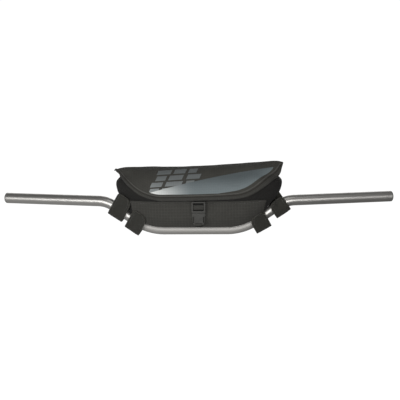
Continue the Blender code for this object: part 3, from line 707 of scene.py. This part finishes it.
def tapeFinish():
    # ribbed tape: u runs along the edge, v across it, from 0 at the folded edge to 1 at its far side; the
    # groove and the outer ridge of the tape's shape are painted darker and lighter, as painted shade and
    # painted highlight
    material, kit, shader = newFinish("bindingTape", 0.8, Sheen_Weight=0.06, Specular_IOR_Level=0.25)
    source = kit.add("ShaderNodeTexCoord").outputs
    u, v, _ = kit.split(source["UV"])
    ribPitch = 0.0012
    turn = kit.math("MULTIPLY", u, 2 * math.pi / ribPitch)
    ribs = kit.math("MULTIPLY_ADD", kit.math("SINE", turn), 0.5, 0.5)
    wear = kit.group(softWear, Map=source["Object"], Size=60.0, Amount=0.12)
    # painted shade along the groove and painted highlight along the outer ridge, where the tape's shape
    # dips and rises
    fromGroove = kit.math("ABSOLUTE", kit.math("SUBTRACT", v, 0.62))
    grooveShade = kit.remap(fromGroove, 0.02, 0.10, 1.0, 0.0, smooth=True)
    fromRidge = kit.math("ABSOLUTE", kit.math("SUBTRACT", v, 0.90))
    ridgeHighlight = kit.remap(fromRidge, 0.03, 0.12, 1.0, 0.0, smooth=True)
    tone = kit.mix(grooveShade, colors["tape"], colors["tapeGrooveShade"])
    tone = kit.mix(ridgeHighlight, tone, colors["tapeRidgeHighlight"])
    # rib crowns painted lighter and their hollows darker: painted highlight and painted shade on the ribs
    lift = kit.math("MULTIPLY", wear["Shade"], kit.math("MULTIPLY_ADD", ribs, 0.25, 0.87))
    kit.link(scaledColor(kit, tone, lift), shader.inputs["Base Color"])
    bumpInto(kit, shader, ribs, 0.00015)
    return material


bindingTape = tapeFinish()
mouldedPlastic = wornFinish(
    "mouldedPlastic",
    colors["plastic"],
    size=80.0,
    amount=0.06,
    roughness=0.58,
    gloss=(0.52, 0.64),
    bump=(0.00006, 0.6),
    Specular_IOR_Level=0.35,
)
sewingThread = wornFinish("sewingThread", colors["thread"], 200.0, 0.15, 0.6, Sheen_Weight=0.3)
print("finishes made:", len(bpy.data.materials))


def makeBar():
    line = barPath(24)
    tube = sweptRing("handlebarTube", tubeAlong(line, bar["radius"], bar["sides"]), titaniumGrey)
    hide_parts("handlebar")
    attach(tube, "root")
    plugs = [("bar_end_plug_left", line[0], line[1]), ("bar_end_plug_right", line[-1], line[-2])]
    for node, end, before in plugs:
        run = (end - before).normalized()
        turned = run.to_track_quat("Z", "Y").to_matrix()
        dome = bar["plugDome"]
        # radius share and height of the plug's outline, from its rim to its crown
        outline = [(0.70, 0.0003), (0.955, 0.0003), (0.985, 0.0006), (1.0, 0.0011)]
        for k in range(10):
            angle = math.radians(9 * k)
            outline.append((max(math.cos(angle), 0.02), dome * (0.2 + 0.8 * math.sin(angle))))
        turns = [2 * math.pi * s / bar["sides"] for s in range(bar["sides"])]
        rings = []
        for share, height in outline:
            wide = bar["radius"] * share
            rings.append(
                [end + turned @ Vector((wide * math.cos(t), wide * math.sin(t), height)) for t in turns]
            )
        plug = sweptRing("barEndCap" + ("Left" if "left" in node else "Right"), rings, plugGrey)
        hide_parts(node)
        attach(plug, "root")


makeBar()
print("handlebar done")


padding = {
    "voxel": 0.004,
    "inset": 0.0012,
    "pressure": 4.0,
    "frames": 20,
    "outGuarded": 0.0008,
    "outFree": 0.0045,
    "earGrowth": 0.0026,
    "inward": 0.0020,
    "sideways": 0.003,
    "earFrom": 0.120,
    "earFade": 0.03,
    "lowest": 0.060,
    "lowFade": 0.02,
    "belowMouth": 0.095,
    "columns": 56,
}


def closedForm(inset):
    heights = [k / 18 for k in range(19)]
    count = padding["columns"]
    shares = [math.sin(math.pi / 2 * (2 * k / count - 1)) for k in range(count + 1)]
    columns = [bodySection(share * 0.9995, heights, inset) for share in shares]
    rows = len(columns[0])
    points = [p for column in columns for p in column]
    faces = []
    for c in range(len(columns) - 1):
        for r in range(rows):
            a, b = c * rows + r, (c + 1) * rows + r
            nextRow = (r + 1) % rows - r
            faces.append((a, b, b + nextRow, a + nextRow))
    faces.append(tuple(range(rows)))
    faces.append(tuple((len(columns) - 1) * rows + r for r in range(rows)))
    item = makeObject("paddedPouch", points, faces, paddedCloth)
    work = bmesh.new()
    work.from_mesh(item.data)
    bmesh.ops.remove_doubles(work, verts=work.verts, dist=0.0002)
    bmesh.ops.triangulate(work, faces=[f for f in work.faces if len(f.verts) > 4])
    bmesh.ops.recalc_face_normals(work, faces=work.faces)
    work.to_mesh(item.data)
    work.free()
    return item


def replaceMesh(item):
    # bakes an object's modifiers into its mesh
    graph = bpy.context.evaluated_depsgraph_get()
    mesh = bpy.data.meshes.new_from_object(item.evaluated_get(graph))
    item.modifiers.clear()
    item.data = mesh
    return item


def readPoints(item):
    points = np.empty(len(item.data.vertices) * 3)
    item.data.vertices.foreach_get("co", points)
    return points.reshape(-1, 3)


def puffUp(item):
    # lets the padding press the cloth outwards, then caps how far each point has moved
    remesh = item.modifiers.new("remesh", "REMESH")
    remesh.mode = "VOXEL"
    remesh.voxel_size = padding["voxel"]
    remesh.use_smooth_shade = True
    replaceMesh(item)
    before = readPoints(item)
    normals = np.empty(len(before) * 3)
    item.data.vertices.foreach_get("normal", normals)
    normals = normals.reshape(-1, 3)
    after = before.copy()
    cloth = item.modifiers.new("padding", "CLOTH")
    cloth.settings.quality = 5
    cloth.settings.mass = 0.15
    cloth.settings.tension_stiffness = 12
    cloth.settings.compression_stiffness = 12
    cloth.settings.bending_stiffness = 0.4
    cloth.settings.use_pressure = True
    cloth.settings.uniform_pressure_force = padding["pressure"]
    cloth.settings.effector_weights.gravity = 0
    cloth.point_cache.frame_start = 1
    cloth.point_cache.frame_end = padding["frames"]
    for number in range(1, padding["frames"] + 1):
        bpy.context.scene.frame_set(number)
    replaceMesh(item)
    after = readPoints(item)
    bpy.context.scene.frame_set(1)
    moved = after - before
    outward = (moved * normals).sum(axis=1, keepdims=True)
    sideways = moved - outward * normals
    across = np.abs(before[:, 0:1] - pouch["offset"])
    free = np.clip((across - padding["earFrom"]) / padding["earFade"], 0, 1)
    free = free * np.clip((before[:, 2:3] - padding["lowest"]) / padding["lowFade"], 0, 1)
    most = padding["outGuarded"] + (padding["outFree"] - padding["outGuarded"]) * free
    outward = np.clip(outward, -padding["inward"], most)
    size = np.linalg.norm(sideways, axis=1, keepdims=True) + 1e-9
    sideways *= np.minimum(size, padding["sideways"]) / size
    points = before + (outward + padding["earGrowth"] * free) * normals + sideways
    reach = bar["radius"] + pouch["barGap"]
    for k, p in enumerate(points):  # keeps the groove clear of the bar
        if p[2] < padding["belowMouth"]:
            axis = barAxis(p[0])
            slope = barSlope(p[0])
            up = (p[2] - axis.z) * math.cos(slope)
            away = math.hypot(up, p[1] - axis.y)
            if away < reach and away > 1e-6:
                points[k][1] = axis.y + (p[1] - axis.y) * reach / away
                points[k][2] = axis.z + (p[2] - axis.z) * reach / away
    item.data.vertices.foreach_set("co", points.ravel())
    item.data.update()
    smooth = item.modifiers.new("subdivision", "SUBSURF")
    smooth.levels = smooth.render_levels = 1
    replaceMesh(item)
    item.data.shade_smooth()
    return item


pouchPiece = puffUp(closedForm(padding["inset"]))
pouchPiece.data.materials.clear()
pouchPiece.data.materials.append(paddedCloth)
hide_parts("bag_body")
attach(pouchPiece, "root")
print("pouch puffed:", len(pouchPiece.data.vertices), "points")


panel = {
    "height": 0.0495,
    "side": 0.822,
    "tuck": 0.80,
    "thickness": 0.0015,
    "pipingRadius": 0.0011,
    "columns": 96,
    "rows": 26,
    "puff": 0.0012,
}

panelStack = pouch["clothGap"] + panel["thickness"]


def dent(point, scale, seed):
    return noise.noise(Vector(point) * scale + Vector((seed, seed * 2.3, 0)))


def panelGrid():
    columns = []
    count = panel["columns"]
    for k in range(count + 1):
        share = panel["side"] * math.sin(math.pi / 2 * (2 * k / count - 1))
        hem = frontPoint(share, 0)
        top = (pouch["hem"] + panel["height"] - hem.z) / (mouthZ(hem.x) - hem.z)
        heights = [top * (1 - r / panel["rows"]) for r in range(panel["rows"])]
        column = [frontPoint(share, height) - Vector((0, pouch["clothGap"], 0)) for height in heights]
        column.append(hem - Vector((0, 0, pouch["clothGap"])))
        column.append(Vector((hem.x, hem.y * (1 + panel["tuck"]) / 2, hem.z - pouch["clothGap"])))
        column.append(Vector((hem.x, hem.y * panel["tuck"], hem.z - pouch["clothGap"])))
        columns.append(column)
    return gridArray(columns)


def makePanel():
    inner = panelGrid()
    normals = gridNormals(inner, (0, -1, 0))
    columns, rows = inner.shape[:2]
    lift = np.full((columns, rows, 1), panel["thickness"])
    for c in range(columns):
        for r in range(rows - 3):
            edge = min(r / 5, (rows - 3 - r) / 6, c / 8, (columns - 1 - c) / 8, 1)
            waves = dent(inner[c, r], 26, 3) + 0.5 * dent(inner[c, r], 60, 7)
            lift[c, r, 0] += panel["puff"] * smoothStep(0, 1, edge) * (0.4 + waves)
    outer = inner + normals * lift
    uv = np.stack([inner[:, :, 0], -gridLengths(inner, 1)], axis=2)
    piece = thickSheet("ripstopPanel", inner, outer, ripstopCloth, uv)
    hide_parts("front_panel")
    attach(piece, "root")
    return outer


panelSkin = makePanel()


def makePiping():
    path = [Vector(p) + Vector((0, 0.0002, 0.0004)) for p in panelSkin[:, 0]]
    piece = sweptRing("panelPiping", tubeAlong(path, panel["pipingRadius"], 10), pipingCloth)
    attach(piece, "root")


makePiping()
print("front panel done")


flap = {
    "width": 0.346,
    "drop": 0.0667,
    "foldHeight": 0.009,
    "rise": 0.011,
    "seamDrop": 0.020,
    "thickness": 0.0022,
    "tipHeight": 0.004,
    "wingDepth": 0.42,
    "wingSquareness": 3.5,
    "ease": 0.0063,
    "waves": 0.0011,
    "smoothPasses": 6,
    "smoothShare": 0.7,
    "columns": 160,
    "frontRows": 26,
    "overRows": 24,
    "edgeSamples": 800,
    # across, rise of the fold line, from the left wing's tip to the right one's
    "fold": [
        (-1.00, -0.50),
        (-0.93, -0.16),
        (-0.85, 0.00),
        (-0.33, 0.04),
        (0.05, 0.17),
        (0.47, 0.52),
        (0.80, 0.94),
        (0.93, 1.03),
        (1.00, 0.82),
    ],
    # across, drop of the front edge
    "edge": [
        (-0.985, 0.10),
        (-0.945, 0.18),
        (-0.86, 0.44),
        (-0.765, 0.66),
        (-0.68, 0.81),
        (-0.58, 0.92),
        (-0.47, 0.99),
        (-0.35, 1.00),
        (0.02, 0.992),
        (0.40, 0.955),
        (0.54, 0.905),
        (0.66, 0.78),
        (0.785, 0.575),
        (0.895, 0.375),
        (0.955, 0.22),
        (0.985, 0.02),
    ],
    # height, depth of the hanging front
    "drape": [(0.00, 1.02), (0.60, 1.02), (0.80, 0.95), (0.90, 0.83), (0.96, 0.68), (1.00, 0.48)],
    # along, height, width on the way over the mouth and down the back
    "over": [
        (0.00, 1.00, 1.00),
        (0.25, 0.985, 0.98),
        (0.50, 0.95, 0.95),
        (0.77, 0.89, 0.91),
        (0.98, 0.80, 0.87),
        (1.04, 0.50, 0.83),
        (1.02, 0.24, 0.81),
        (1.00, 0.00, 0.80),
    ],
}


def foldPoint(across):
    rise = readTable(flap["fold"], across) * flap["rise"]
    height = pouch["hem"] + pouch["height"] + flap["foldHeight"] + rise
    return pouch["offset"] + across * flap["width"] / 2, height


def edgeLine(samples):
    foldHeight = pouch["hem"] + pouch["height"] + flap["foldHeight"]
    count = len(flap["edge"])
    dense = []
    for k in range(samples + 1):
        at = k / samples * (count - 1)
        across = curveThrough(range(count), [row[0] for row in flap["edge"]], at)
        drop = curveThrough(range(count), [row[1] for row in flap["edge"]], at)
        dense.append((pouch["offset"] + across * flap["width"] / 2, foldHeight - drop * flap["drop"]))
    dense = np.array(dense)
    lengths = np.concatenate([[0], np.cumsum(np.linalg.norm(np.diff(dense, axis=0), axis=1))])
    wanted = np.linspace(0, lengths[-1], samples + 1)
    return np.stack([np.interp(wanted, lengths, dense[:, n]) for n in range(2)], axis=1)


flapEdge = edgeLine(flap["edgeSamples"])


def flapDepth(x, z):
    across = max(-1, min(1, (x - pouch["offset"]) / (flap["width"] / 2)))
    foldZ = foldPoint(across)[1]
    height = (z - pouch["hem"]) / (foldZ - pouch["hem"])
    wing = flap["wingDepth"] + (1 - flap["wingDepth"]) * (1 - abs(across) ** flap["wingSquareness"])
    own = pouch["front"] * readTable(flap["drape"], height) * wing
    return max(own, frontReach(x, z) + flap["ease"])


binding = {
    "thickness": 0.0010,
    "rows": 12,
    # along the edge from the left tip, width of the tape's front side
    "widths": [(0.0, 0.0095), (0.3, 0.0110), (0.65, 0.0118), (0.8, 0.0130), (0.9, 0.0155), (1.0, 0.0185)],
}

bandRows = binding["rows"]


def flapColumn(k):
    along = k / flap["columns"]
    across = 2 * along - 1
    at = along * (len(flapEdge) - 1)
    low = min(int(at), len(flapEdge) - 2)
    edge = Vector(flapEdge[low] + (flapEdge[low + 1] - flapEdge[low]) * (at - low))
    foldX, foldZ = foldPoint(across)
    fold = Vector((foldX, max(foldZ, edge.y + flap["tipHeight"])))
    band = min(readTable(binding["widths"], along) / (fold - edge).length, 0.85)
    shares = [band * r / bandRows for r in range(bandRows)]
    frontRows = flap["frontRows"]
    shares += [band + (1 - band) * math.sin(math.pi / 2 * r / frontRows) for r in range(frontRows + 1)]
    points = []
    for share in shares:
        spot = edge.lerp(fold, share)
        points.append(Vector((spot.x, -flapDepth(spot.x, spot.y), spot.y)))
    front = points[-1]
    for step in range(1, flap["overRows"] + 1):
        at = step / flap["overRows"] * (len(flap["over"]) - 1)
        order = list(range(len(flap["over"])))
        away, height, width = (curveThrough(order, [row[n] for row in flap["over"]], at) for n in range(3))
        x = pouch["offset"] + (front.x - pouch["offset"]) * width
        seamZ = mouthZ(x) - flap["seamDrop"]
        z = seamZ + (front.z - seamZ) * height
        seamY = backReach(x, min(z, mouthZ(x) - pouch["clothGap"])) + pouch["clothGap"]
        points.append(Vector((x, front.y + (seamY - front.y) * away, z)))
    return points


def smoothGrid(grid, passes, keep):
    # evens out the surface, leaving the outline rows as they are
    for _ in range(passes):
        middle = grid[1:-1, 1:-1]
        around = (grid[:-2, 1:-1] + grid[2:, 1:-1] + grid[1:-1, :-2] + grid[1:-1, 2:]) / 4
        depth = middle[:, :, 1] + (around[:, :, 1] - middle[:, :, 1]) * keep
        grid[1:-1, 1:-1, 1] = depth
    return grid


def makeFlap():
    inner = gridArray([flapColumn(k) for k in range(flap["columns"] + 1)])
    inner = smoothGrid(inner, flap["smoothPasses"], flap["smoothShare"])
    normals = gridNormals(inner, (0, -1, 0.4))
    columns, rows = inner.shape[:2]
    lift = np.full((columns, rows, 1), flap["thickness"])
    for c in range(columns):
        for r in range(rows):
            inBand = smoothStep(bandRows - 1, bandRows + 6, r)
            waves = dent(inner[c, r], 17, 11) + 0.45 * dent(inner[c, r], 42, 5)
            lift[c, r, 0] += flap["waves"] * inBand * waves
    outer = inner + normals * lift
    down = gridLengths(inner, 1)
    uv = np.stack([inner[:, :, 0], down], axis=2)
    piece = thickSheet("flapSheet", inner, outer, flapCloth, uv)
    return piece, inner, outer, normals, down


flapPiece, flapInner, flapOuter, flapNormals, flapDown = makeFlap()
print("flap rows", flapInner.shape, "longest column", round(float(flapDown[:, -1].max()), 4))


def makeBinding():
    # tape folded over the flap's edge: ribbed on the front, plain behind
    gap = 0.0002
    thick = binding["thickness"]
    lengths = gridLengths(flapOuter, 0)[:, 0]
    rings, maps = [], []
    for c in range(flapInner.shape[0]):
        ring, uv = [], []
        normal = flapNormals[c]
        for r in range(bandRows, -1, -1):
            share = r / bandRows
            ribs = 0.55 + 0.45 * abs(math.cos(math.pi * (share * 1.62 + 0.42)))
            ribs *= 0.55 + 0.45 * smoothStep(1.0, 0.86, share)
            ring.append(flapOuter[c, r] + normal[r] * (gap + thick * ribs))
            uv.append((lengths[c], share))
        edge = (flapInner[c, 0] + flapOuter[c, 0]) / 2
        out = edge - flapOuter[c, 1]
        out /= np.linalg.norm(out) + 1e-12
        ring.append(edge + out * (gap + thick))
        uv.append((lengths[c], 0.0))
        backRows = bandRows // 2
        for r in range(0, backRows + 1):
            ring.append(flapInner[c, r] - normal[r] * (gap + thick * 0.5))
            uv.append((lengths[c], r / bandRows))
        for r in range(backRows, -1, -1):
            ring.append(flapInner[c, r] - normal[r] * gap * 0.5)
            uv.append((lengths[c], r / bandRows))
        ring.append(edge + out * gap * 0.5)
        uv.append((lengths[c], 0.0))
        for r in range(0, bandRows + 1):
            ring.append(flapOuter[c, r] + normal[r] * gap * 0.5)
            uv.append((lengths[c], r / bandRows))
        rings.append(ring)
        maps += uv
    piece = sweptRing("flapBinding", rings, bindingTape, maps)
    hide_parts("flap_binding")
    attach(piece, "root")
    return piece


bindingPiece = makeBinding()
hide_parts("flap")
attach(flapPiece, "root")
print("flap done")


straps = {
    "width": 0.0345,
    "thickness": 0.0026,
    "slack": 0.012,
    "reach": 0.032,
    "rearReach": 0.030,
    "innerCorner": 0.015,
    "outerCorner": 0.005,
    "gap": 0.0014,
    "stations": 14,
    "rimShare": 0.72,
    "seamShare": 0.88,
    "roughness": 0.0003,
    # across, slope, reach, slack: shares of half the pouch's width, the riser's angle, reach and slack
    "rows": {
        "leftUpper": (-0.962, 0.96, 1.00, 0.46),
        "leftLower": (-0.745, 0.99, 0.66, 0.80),
        "rightLower": (0.709, 0.84, 0.27, 1.00),
        "rightUpper": (0.948, 1.00, 0.37, 0.62),
    },
    "nodes": {
        "leftUpper": "bar_strap_left_upper",
        "leftLower": "bar_strap_left_lower",
        "rightLower": "bar_strap_right_lower",
        "rightUpper": "bar_strap_right_upper",
    },
}


def upperHull(samples):
    hull = []
    for point in samples:
        while len(hull) > 1:
            (x1, y1), (x2, y2) = hull[-2:]
            if (x2 - x1) * (point[1] - y1) - (y2 - y1) * (point[0] - x1) < 0:
                break
            hull.pop()
        hull.append(point)
    return hull


def strapDepth(axis, up, reach, slack, surface, stack):
    loop = bar["radius"] + pouch["barGap"]
    low = loop + slack
    samples = [(-low * math.cos(a), loop * math.sin(a)) for a in (math.pi / 2 * k / 8 for k in range(9))]
    for k in range(1, 17):
        away = reach * k / 16
        at = axis + up * away
        samples.append((away, max(loop, surface(at.x, at.z) + stack)))
    return upperHull(samples)


def readLine(line, x):
    for (x1, y1), (x2, y2) in zip(line, line[1:]):
        if x <= x2:
            return y1 + (y2 - y1) * (x - x1) / (x2 - x1)
    return line[-1][1]


def cornerInset(fromEnd, radius):
    if fromEnd >= radius:
        return 0
    return radius - math.sqrt(max(radius**2 - (radius - fromEnd) ** 2, 0))


def strapGrid(across, slopeShare, reachShare, slackShare):
    centre = barAxis(pouch["offset"] + across * pouch["width"] / 2)
    innerSide = -1 if across > 0 else 1
    angle = -innerSide * slopeShare * bar["riserAngle"]
    alongBar = Vector((math.cos(angle), 0, math.sin(angle)))
    up = Vector((-math.sin(angle), 0, math.cos(angle)))
    reach, slack = reachShare * straps["reach"], slackShare * straps["slack"]
    half = straps["width"] / 2
    low = bar["radius"] + pouch["barGap"] + slack
    arcSteps = 12
    arc = [-low * math.cos(math.pi / 2 * k / arcSteps) for k in range(arcSteps + 1)]
    frontShares = [math.sin(math.pi / 2 * k / 18) for k in range(1, 19)]
    rearShares = [1 - k / 8 for k in range(8)]
    # side of the bar and distance from it: down the rear, round below, up the front
    rear = [(1, straps["rearReach"] * share) for share in rearShares]
    rear += [(1, away) for away in reversed(arc)]
    front = [(-1, away) for away in arc[1:]] + [(-1, reach * share) for share in frontShares]
    columns = []
    for station in range(straps["stations"] + 1):
        share = station / straps["stations"]
        column = []
        for side, away in rear + front:
            fromEnd = reach - away if side < 0 else half
            inner = half - cornerInset(fromEnd, straps["innerCorner"])
            outer = half - cornerInset(fromEnd, straps["outerCorner"])
            middle = centre + alongBar * (innerSide * (inner * share - outer * (1 - share)))
            if side < 0:
                line = strapDepth(middle, up, reach, slack, frontReach, panelStack + straps["gap"])
            else:
                line = strapDepth(middle, up, straps["rearReach"], slack, backReach, straps["gap"])
            point = middle + up * away
            point.y = barAxis(point.x).y + side * readLine(line, away)
            column.append(point)
        columns.append(column)
    return gridArray(columns), len(rear)


strapSkins = {}


def makeStrap(name, row):
    inner, rearCount = strapGrid(*row)
    for _ in range(2):
        inner[:, 1:-1] = inner[:, 1:-1] * 0.5 + (inner[:, :-2] + inner[:, 2:]) * 0.25
    normals = gridNormals(inner, (0, 0, 0.001))
    if normals[inner.shape[0] // 2, -6][1] > 0:
        normals = -normals
    columns, rows = inner.shape[:2]
    lift = np.full((columns, rows, 1), straps["thickness"])
    for c in range(columns):
        for r in range(rows):
            rim = min(c, columns - 1 - c, rows - 1 - r)
            if rim == 0:
                lift[c, r, 0] *= straps["rimShare"]
            elif rim == 2:
                lift[c, r, 0] *= straps["seamShare"]
            lift[c, r, 0] += straps["roughness"] * dent(inner[c, r], 70, 13)
    outer = inner + normals * lift
    across, down = gridLengths(inner, 0), gridLengths(inner, 1)
    uv = np.stack([np.minimum(across, across[-1] - across), down[:, -1:] - down], axis=2)
    label = name[0].upper() + name[1:]
    piece = thickSheet("barStrap" + label, inner, outer, strapCloth, uv)
    strapSkins[name] = (outer, normals, rearCount)
    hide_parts(straps["nodes"][name])
    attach(piece, "root")


for strapName, strapRow in straps["rows"].items():
    makeStrap(strapName, strapRow)
print("bar straps done")


def softenedCopy(node, name, material, width):
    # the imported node's own shape with small rounded edges
    item = placeObject(name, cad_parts[node].data.copy())
    work = bmesh.new()
    work.from_mesh(item.data)
    bmesh.ops.remove_doubles(work, verts=work.verts, dist=0.00001)
    bmesh.ops.dissolve_limit(work, angle_limit=math.radians(2), verts=work.verts, edges=work.edges)
    bmesh.ops.recalc_face_normals(work, faces=work.faces)
    work.to_mesh(item.data)
    work.free()
    bevel = item.modifiers.new("bevel", "BEVEL")
    bevel.width = width
    bevel.segments = 2
    bevel.limit_method = "ANGLE"
    bevel.angle_limit = math.radians(40)
    replaceMesh(item)
    item.data.materials.clear()
    item.data.materials.append(material)
    item.data.shade_smooth()
    item.data.set_sharp_from_angle(angle=math.radians(40))
    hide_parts(node)
    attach(item, "root")
    return item


buckle = {
    "plasticEdge": 0.0004,
    "webbingEdge": 0.0002,
    "plastic": {"buckle_male": "buckleFrame", "buckle_female": "buckleSocket"},
    "webbing": {"buckle_strap_upper": "buckleWebbingUpper", "buckle_strap_lower": "buckleWebbingLower"},
}

for node, name in buckle["plastic"].items():
    softenedCopy(node, name, mouldedPlastic, buckle["plasticEdge"])
for node, name in buckle["webbing"].items():
    # each ribbon's finish carries painted shade in the buckle's slots
    frontY = min(corner[1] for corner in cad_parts[node].bound_box)
    cloth = webbingWithSlotShade(name + "Cloth", frontY)
    softenedCopy(node, name, cloth, buckle["webbingEdge"])
print("buckle done")


sewing = {"pitch": 0.0034, "length": 0.0024, "thread": 0.00030}


def stitchTree():
    tree = bpy.data.node_groups.new("runningStitch", "GeometryNodeTree")
    tree.is_modifier = True
    face = tree.interface
    face.new_socket("Seams", in_out="INPUT", socket_type="NodeSocketGeometry")
    for label in ("Pitch", "Stitch length", "Thread radius"):
        face.new_socket(label, in_out="INPUT", socket_type="NodeSocketFloat")
    face.new_socket("Thread", in_out="INPUT", socket_type="NodeSocketMaterial")
    face.new_socket("Stitches", in_out="OUTPUT", socket_type="NodeSocketGeometry")
    kit = Nodes(tree)
    start, end = kit.add("NodeGroupInput"), kit.add("NodeGroupOutput")
    given = start.outputs
    path = kit.add("GeometryNodeMeshToCurve", {0: given["Seams"]})
    lengths = {"Curve": path.outputs[0], "Length": given["Pitch"]}
    spaced = kit.add("GeometryNodeResampleCurve", lengths, mode="LENGTH")
    bead = kit.add("GeometryNodeMeshUVSphere", {"Segments": 6, "Rings": 5, "Radius": 1.0})
    tangent = kit.add("GeometryNodeInputTangent")
    turn = kit.add("FunctionNodeAlignRotationToVector", {"Vector": tangent.outputs[0]}, axis="X")
    jitter = kit.add("FunctionNodeRandomValue", {"Seed": 7, 2: 0.9, 3: 1.08}, data_type="FLOAT")
    longer = kit.math("MULTIPLY", given["Stitch length"], jitter.outputs[1])
    sizes = {0: kit.math("MULTIPLY", longer, 0.5), 1: given["Thread radius"], 2: given["Thread radius"]}
    size = kit.add("ShaderNodeCombineXYZ", sizes)
    feeds = {"Points": spaced, "Instance": bead, "Rotation": turn, "Scale": size}
    feeds = {name: node.outputs[0] for name, node in feeds.items()}
    placed = kit.add("GeometryNodeInstanceOnPoints", feeds)
    real = kit.add("GeometryNodeRealizeInstances", {0: placed.outputs[0]})
    dye = kit.add("GeometryNodeSetMaterial", {"Geometry": real.outputs[0], "Material": given["Thread"]})
    kit.link(dye.outputs[0], end.inputs[0])
    return tree


def sewSeams(name, seams, tree):
    points, edges = [], []
    for seam in seams:
        first = len(points)
        points += [tuple(p) for p in seam]
        edges += [(first + k, first + k + 1) for k in range(len(seam) - 1)]
    mesh = bpy.data.meshes.new(name)
    mesh.from_pydata(points, edges, [])
    item = placeObject(name, mesh)
    modifier = item.modifiers.new("stitches", "NODES")
    modifier.node_group = tree
    values = {
        "Pitch": sewing["pitch"],
        "Stitch length": sewing["length"],
        "Thread radius": sewing["thread"],
        "Thread": sewingThread,
    }
    for socket in tree.interface.items_tree:
        if socket.in_out == "INPUT" and socket.name in values:
            modifier[socket.identifier] = values[socket.name]
    replaceMesh(item)
    item.data.shade_smooth()
    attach(item, "root")
    print(name, len(item.data.polygons), "faces")
    return item


def flapSeam(row, lift):
    return [flapOuter[c, row] + flapNormals[c, row] * lift for c in range(3, flapOuter.shape[0] - 3)]


def tabSeam(name, inset):
    # follows the tab's two long sides and its rounded end
    outer, normals, rearCount = strapSkins[name]
    columns, rows = outer.shape[:2]
    lift = 0.0001
    spots = [(inset, r) for r in range(rearCount + 8, rows - inset)]
    spots += [(c, rows - 1 - inset) for c in range(inset, columns - inset)]
    spots += [(columns - 1 - inset, r) for r in range(rows - 1 - inset, rearCount + 8, -1)]
    return [outer[c, r] + normals[c, r] * lift for c, r in spots]


runningStitch = stitchTree()
sewSeams("bindingStitches", [flapSeam(bandRows - 2, 0.0009), flapSeam(3, 0.0010)], runningStitch)
sewSeams("strapStitches", [tabSeam(name, 2) for name in straps["rows"]], runningStitch)
panelNormals = gridNormals(panelSkin, (0, -1, 0))
sewSeams("panelStitches", [panelSkin[:, 2] + panelNormals[:, 2] * 0.0001], runningStitch)
print("stitches done")

stage = {
    "floorSize": 6.0,
    "floorLevel": -0.60,
    "floorGlow": 1.0,
    "backdropRadius": 7.0,
    "backdropGlow": 1.05,
}


def makeStage():
    floorMaterial, kit, shader = newFinish("paleFloor", 0.9)
    shader.inputs["Base Color"].default_value = (0.92, 0.92, 0.92, 1)
    shader.inputs["Emission Color"].default_value = (1, 1, 1, 1)
    shader.inputs["Emission Strength"].default_value = stage["floorGlow"]
    mesh = bpy.data.meshes.new("floor")
    size, level = stage["floorSize"], stage["floorLevel"]
    corners = [(x * size, y * size, level) for x, y in ((-1, -1), (1, -1), (1, 1), (-1, 1))]
    mesh.from_pydata(corners, [], [(0, 1, 2, 3)])
    mesh.materials.append(floorMaterial)
    floor = placeObject("floor", mesh)
    glow = bpy.data.materials.new("paleBackdrop")
    glow.use_nodes = True
    tree = glow.node_tree
    tree.nodes.clear()
    emission = tree.nodes.new("ShaderNodeEmission")
    emission.inputs["Strength"].default_value = stage["backdropGlow"]
    output = tree.nodes.new("ShaderNodeOutputMaterial")
    tree.links.new(emission.outputs[0], output.inputs["Surface"])
    work = bmesh.new()
    bmesh.ops.create_uvsphere(work, u_segments=48, v_segments=24, radius=stage["backdropRadius"])
    mesh = bpy.data.meshes.new("backdrop")
    work.to_mesh(mesh)
    work.free()
    mesh.materials.append(glow)
    backdrop = placeObject("backdrop", mesh)
    for setting in ("visible_diffuse", "visible_glossy", "visible_transmission", "visible_shadow"):
        setattr(backdrop, setting, False)
    floor.visible_diffuse = floor.visible_glossy = False


lighting = {
    "world": 0.11,
    "aim": (0, 0, 0.05),
    # name, place, width, depth, power, hidden from the camera
    "lamps": [
        ("keyLight", (-0.25, -2.2, -0.05), 3.4, 0.9, 48.0, False),
        ("topLight", (0.3, -1.2, 2.0), 0.8, 0.8, 4.0, False),
        ("floorGlow", (-0.6, 0.0, -0.58), 4.0, 3.0, 9.0, True),
        ("backLight", (0.0, 2.0, 1.3), 4.4, 1.4, 26.0, True),
    ],
}


def makeLight():
    world = bpy.data.worlds.new("studio")
    bpy.context.scene.world = world
    world.use_nodes = True
    background = world.node_tree.nodes["Background"]
    background.inputs["Color"].default_value = (1, 1, 1, 1)
    background.inputs["Strength"].default_value = lighting["world"]
    for name, place, width, depth, power, hidden in lighting["lamps"]:
        lamp = bpy.data.lights.new(name, "AREA")
        lamp.energy = power
        lamp.shape = "RECTANGLE"
        lamp.size, lamp.size_y = width, depth
        item = placeObject(name, lamp)
        item.location = place
        run = Vector(lighting["aim"]) - Vector(place)
        item.rotation_euler = run.to_track_quat("-Z", "Y").to_euler()
        item.visible_camera = not hidden


photoView = {
    "target": (0.009, 0.0, 0.060),
    "distance": 2.5,
    "yaw": 3.5,
    "rise": 1.5,
    "roll": -0.35,
    "lens": 108.8,
}


def makeCamera():
    data = bpy.data.cameras.new("camera")
    data.lens = photoView["lens"]
    data.sensor_width = 36
    data.clip_start, data.clip_end = 0.05, 50
    item = placeObject("camera", data)
    yaw, rise = math.radians(photoView["yaw"]), math.radians(photoView["rise"])
    back = Vector((math.sin(yaw) * math.cos(rise), -math.cos(yaw) * math.cos(rise), math.sin(rise)))
    item.location = Vector(photoView["target"]) + back * photoView["distance"]
    level = (-back).to_track_quat("-Z", "Y").to_matrix()
    rolled = Matrix.Rotation(math.radians(photoView["roll"]), 3, "Z")
    item.rotation_euler = (level @ rolled).to_euler()
    bpy.context.scene.camera = item


makeStage()
makeLight()
makeCamera()
bpy.context.scene.view_settings.view_transform = "Standard"
print("stage, light and camera done")
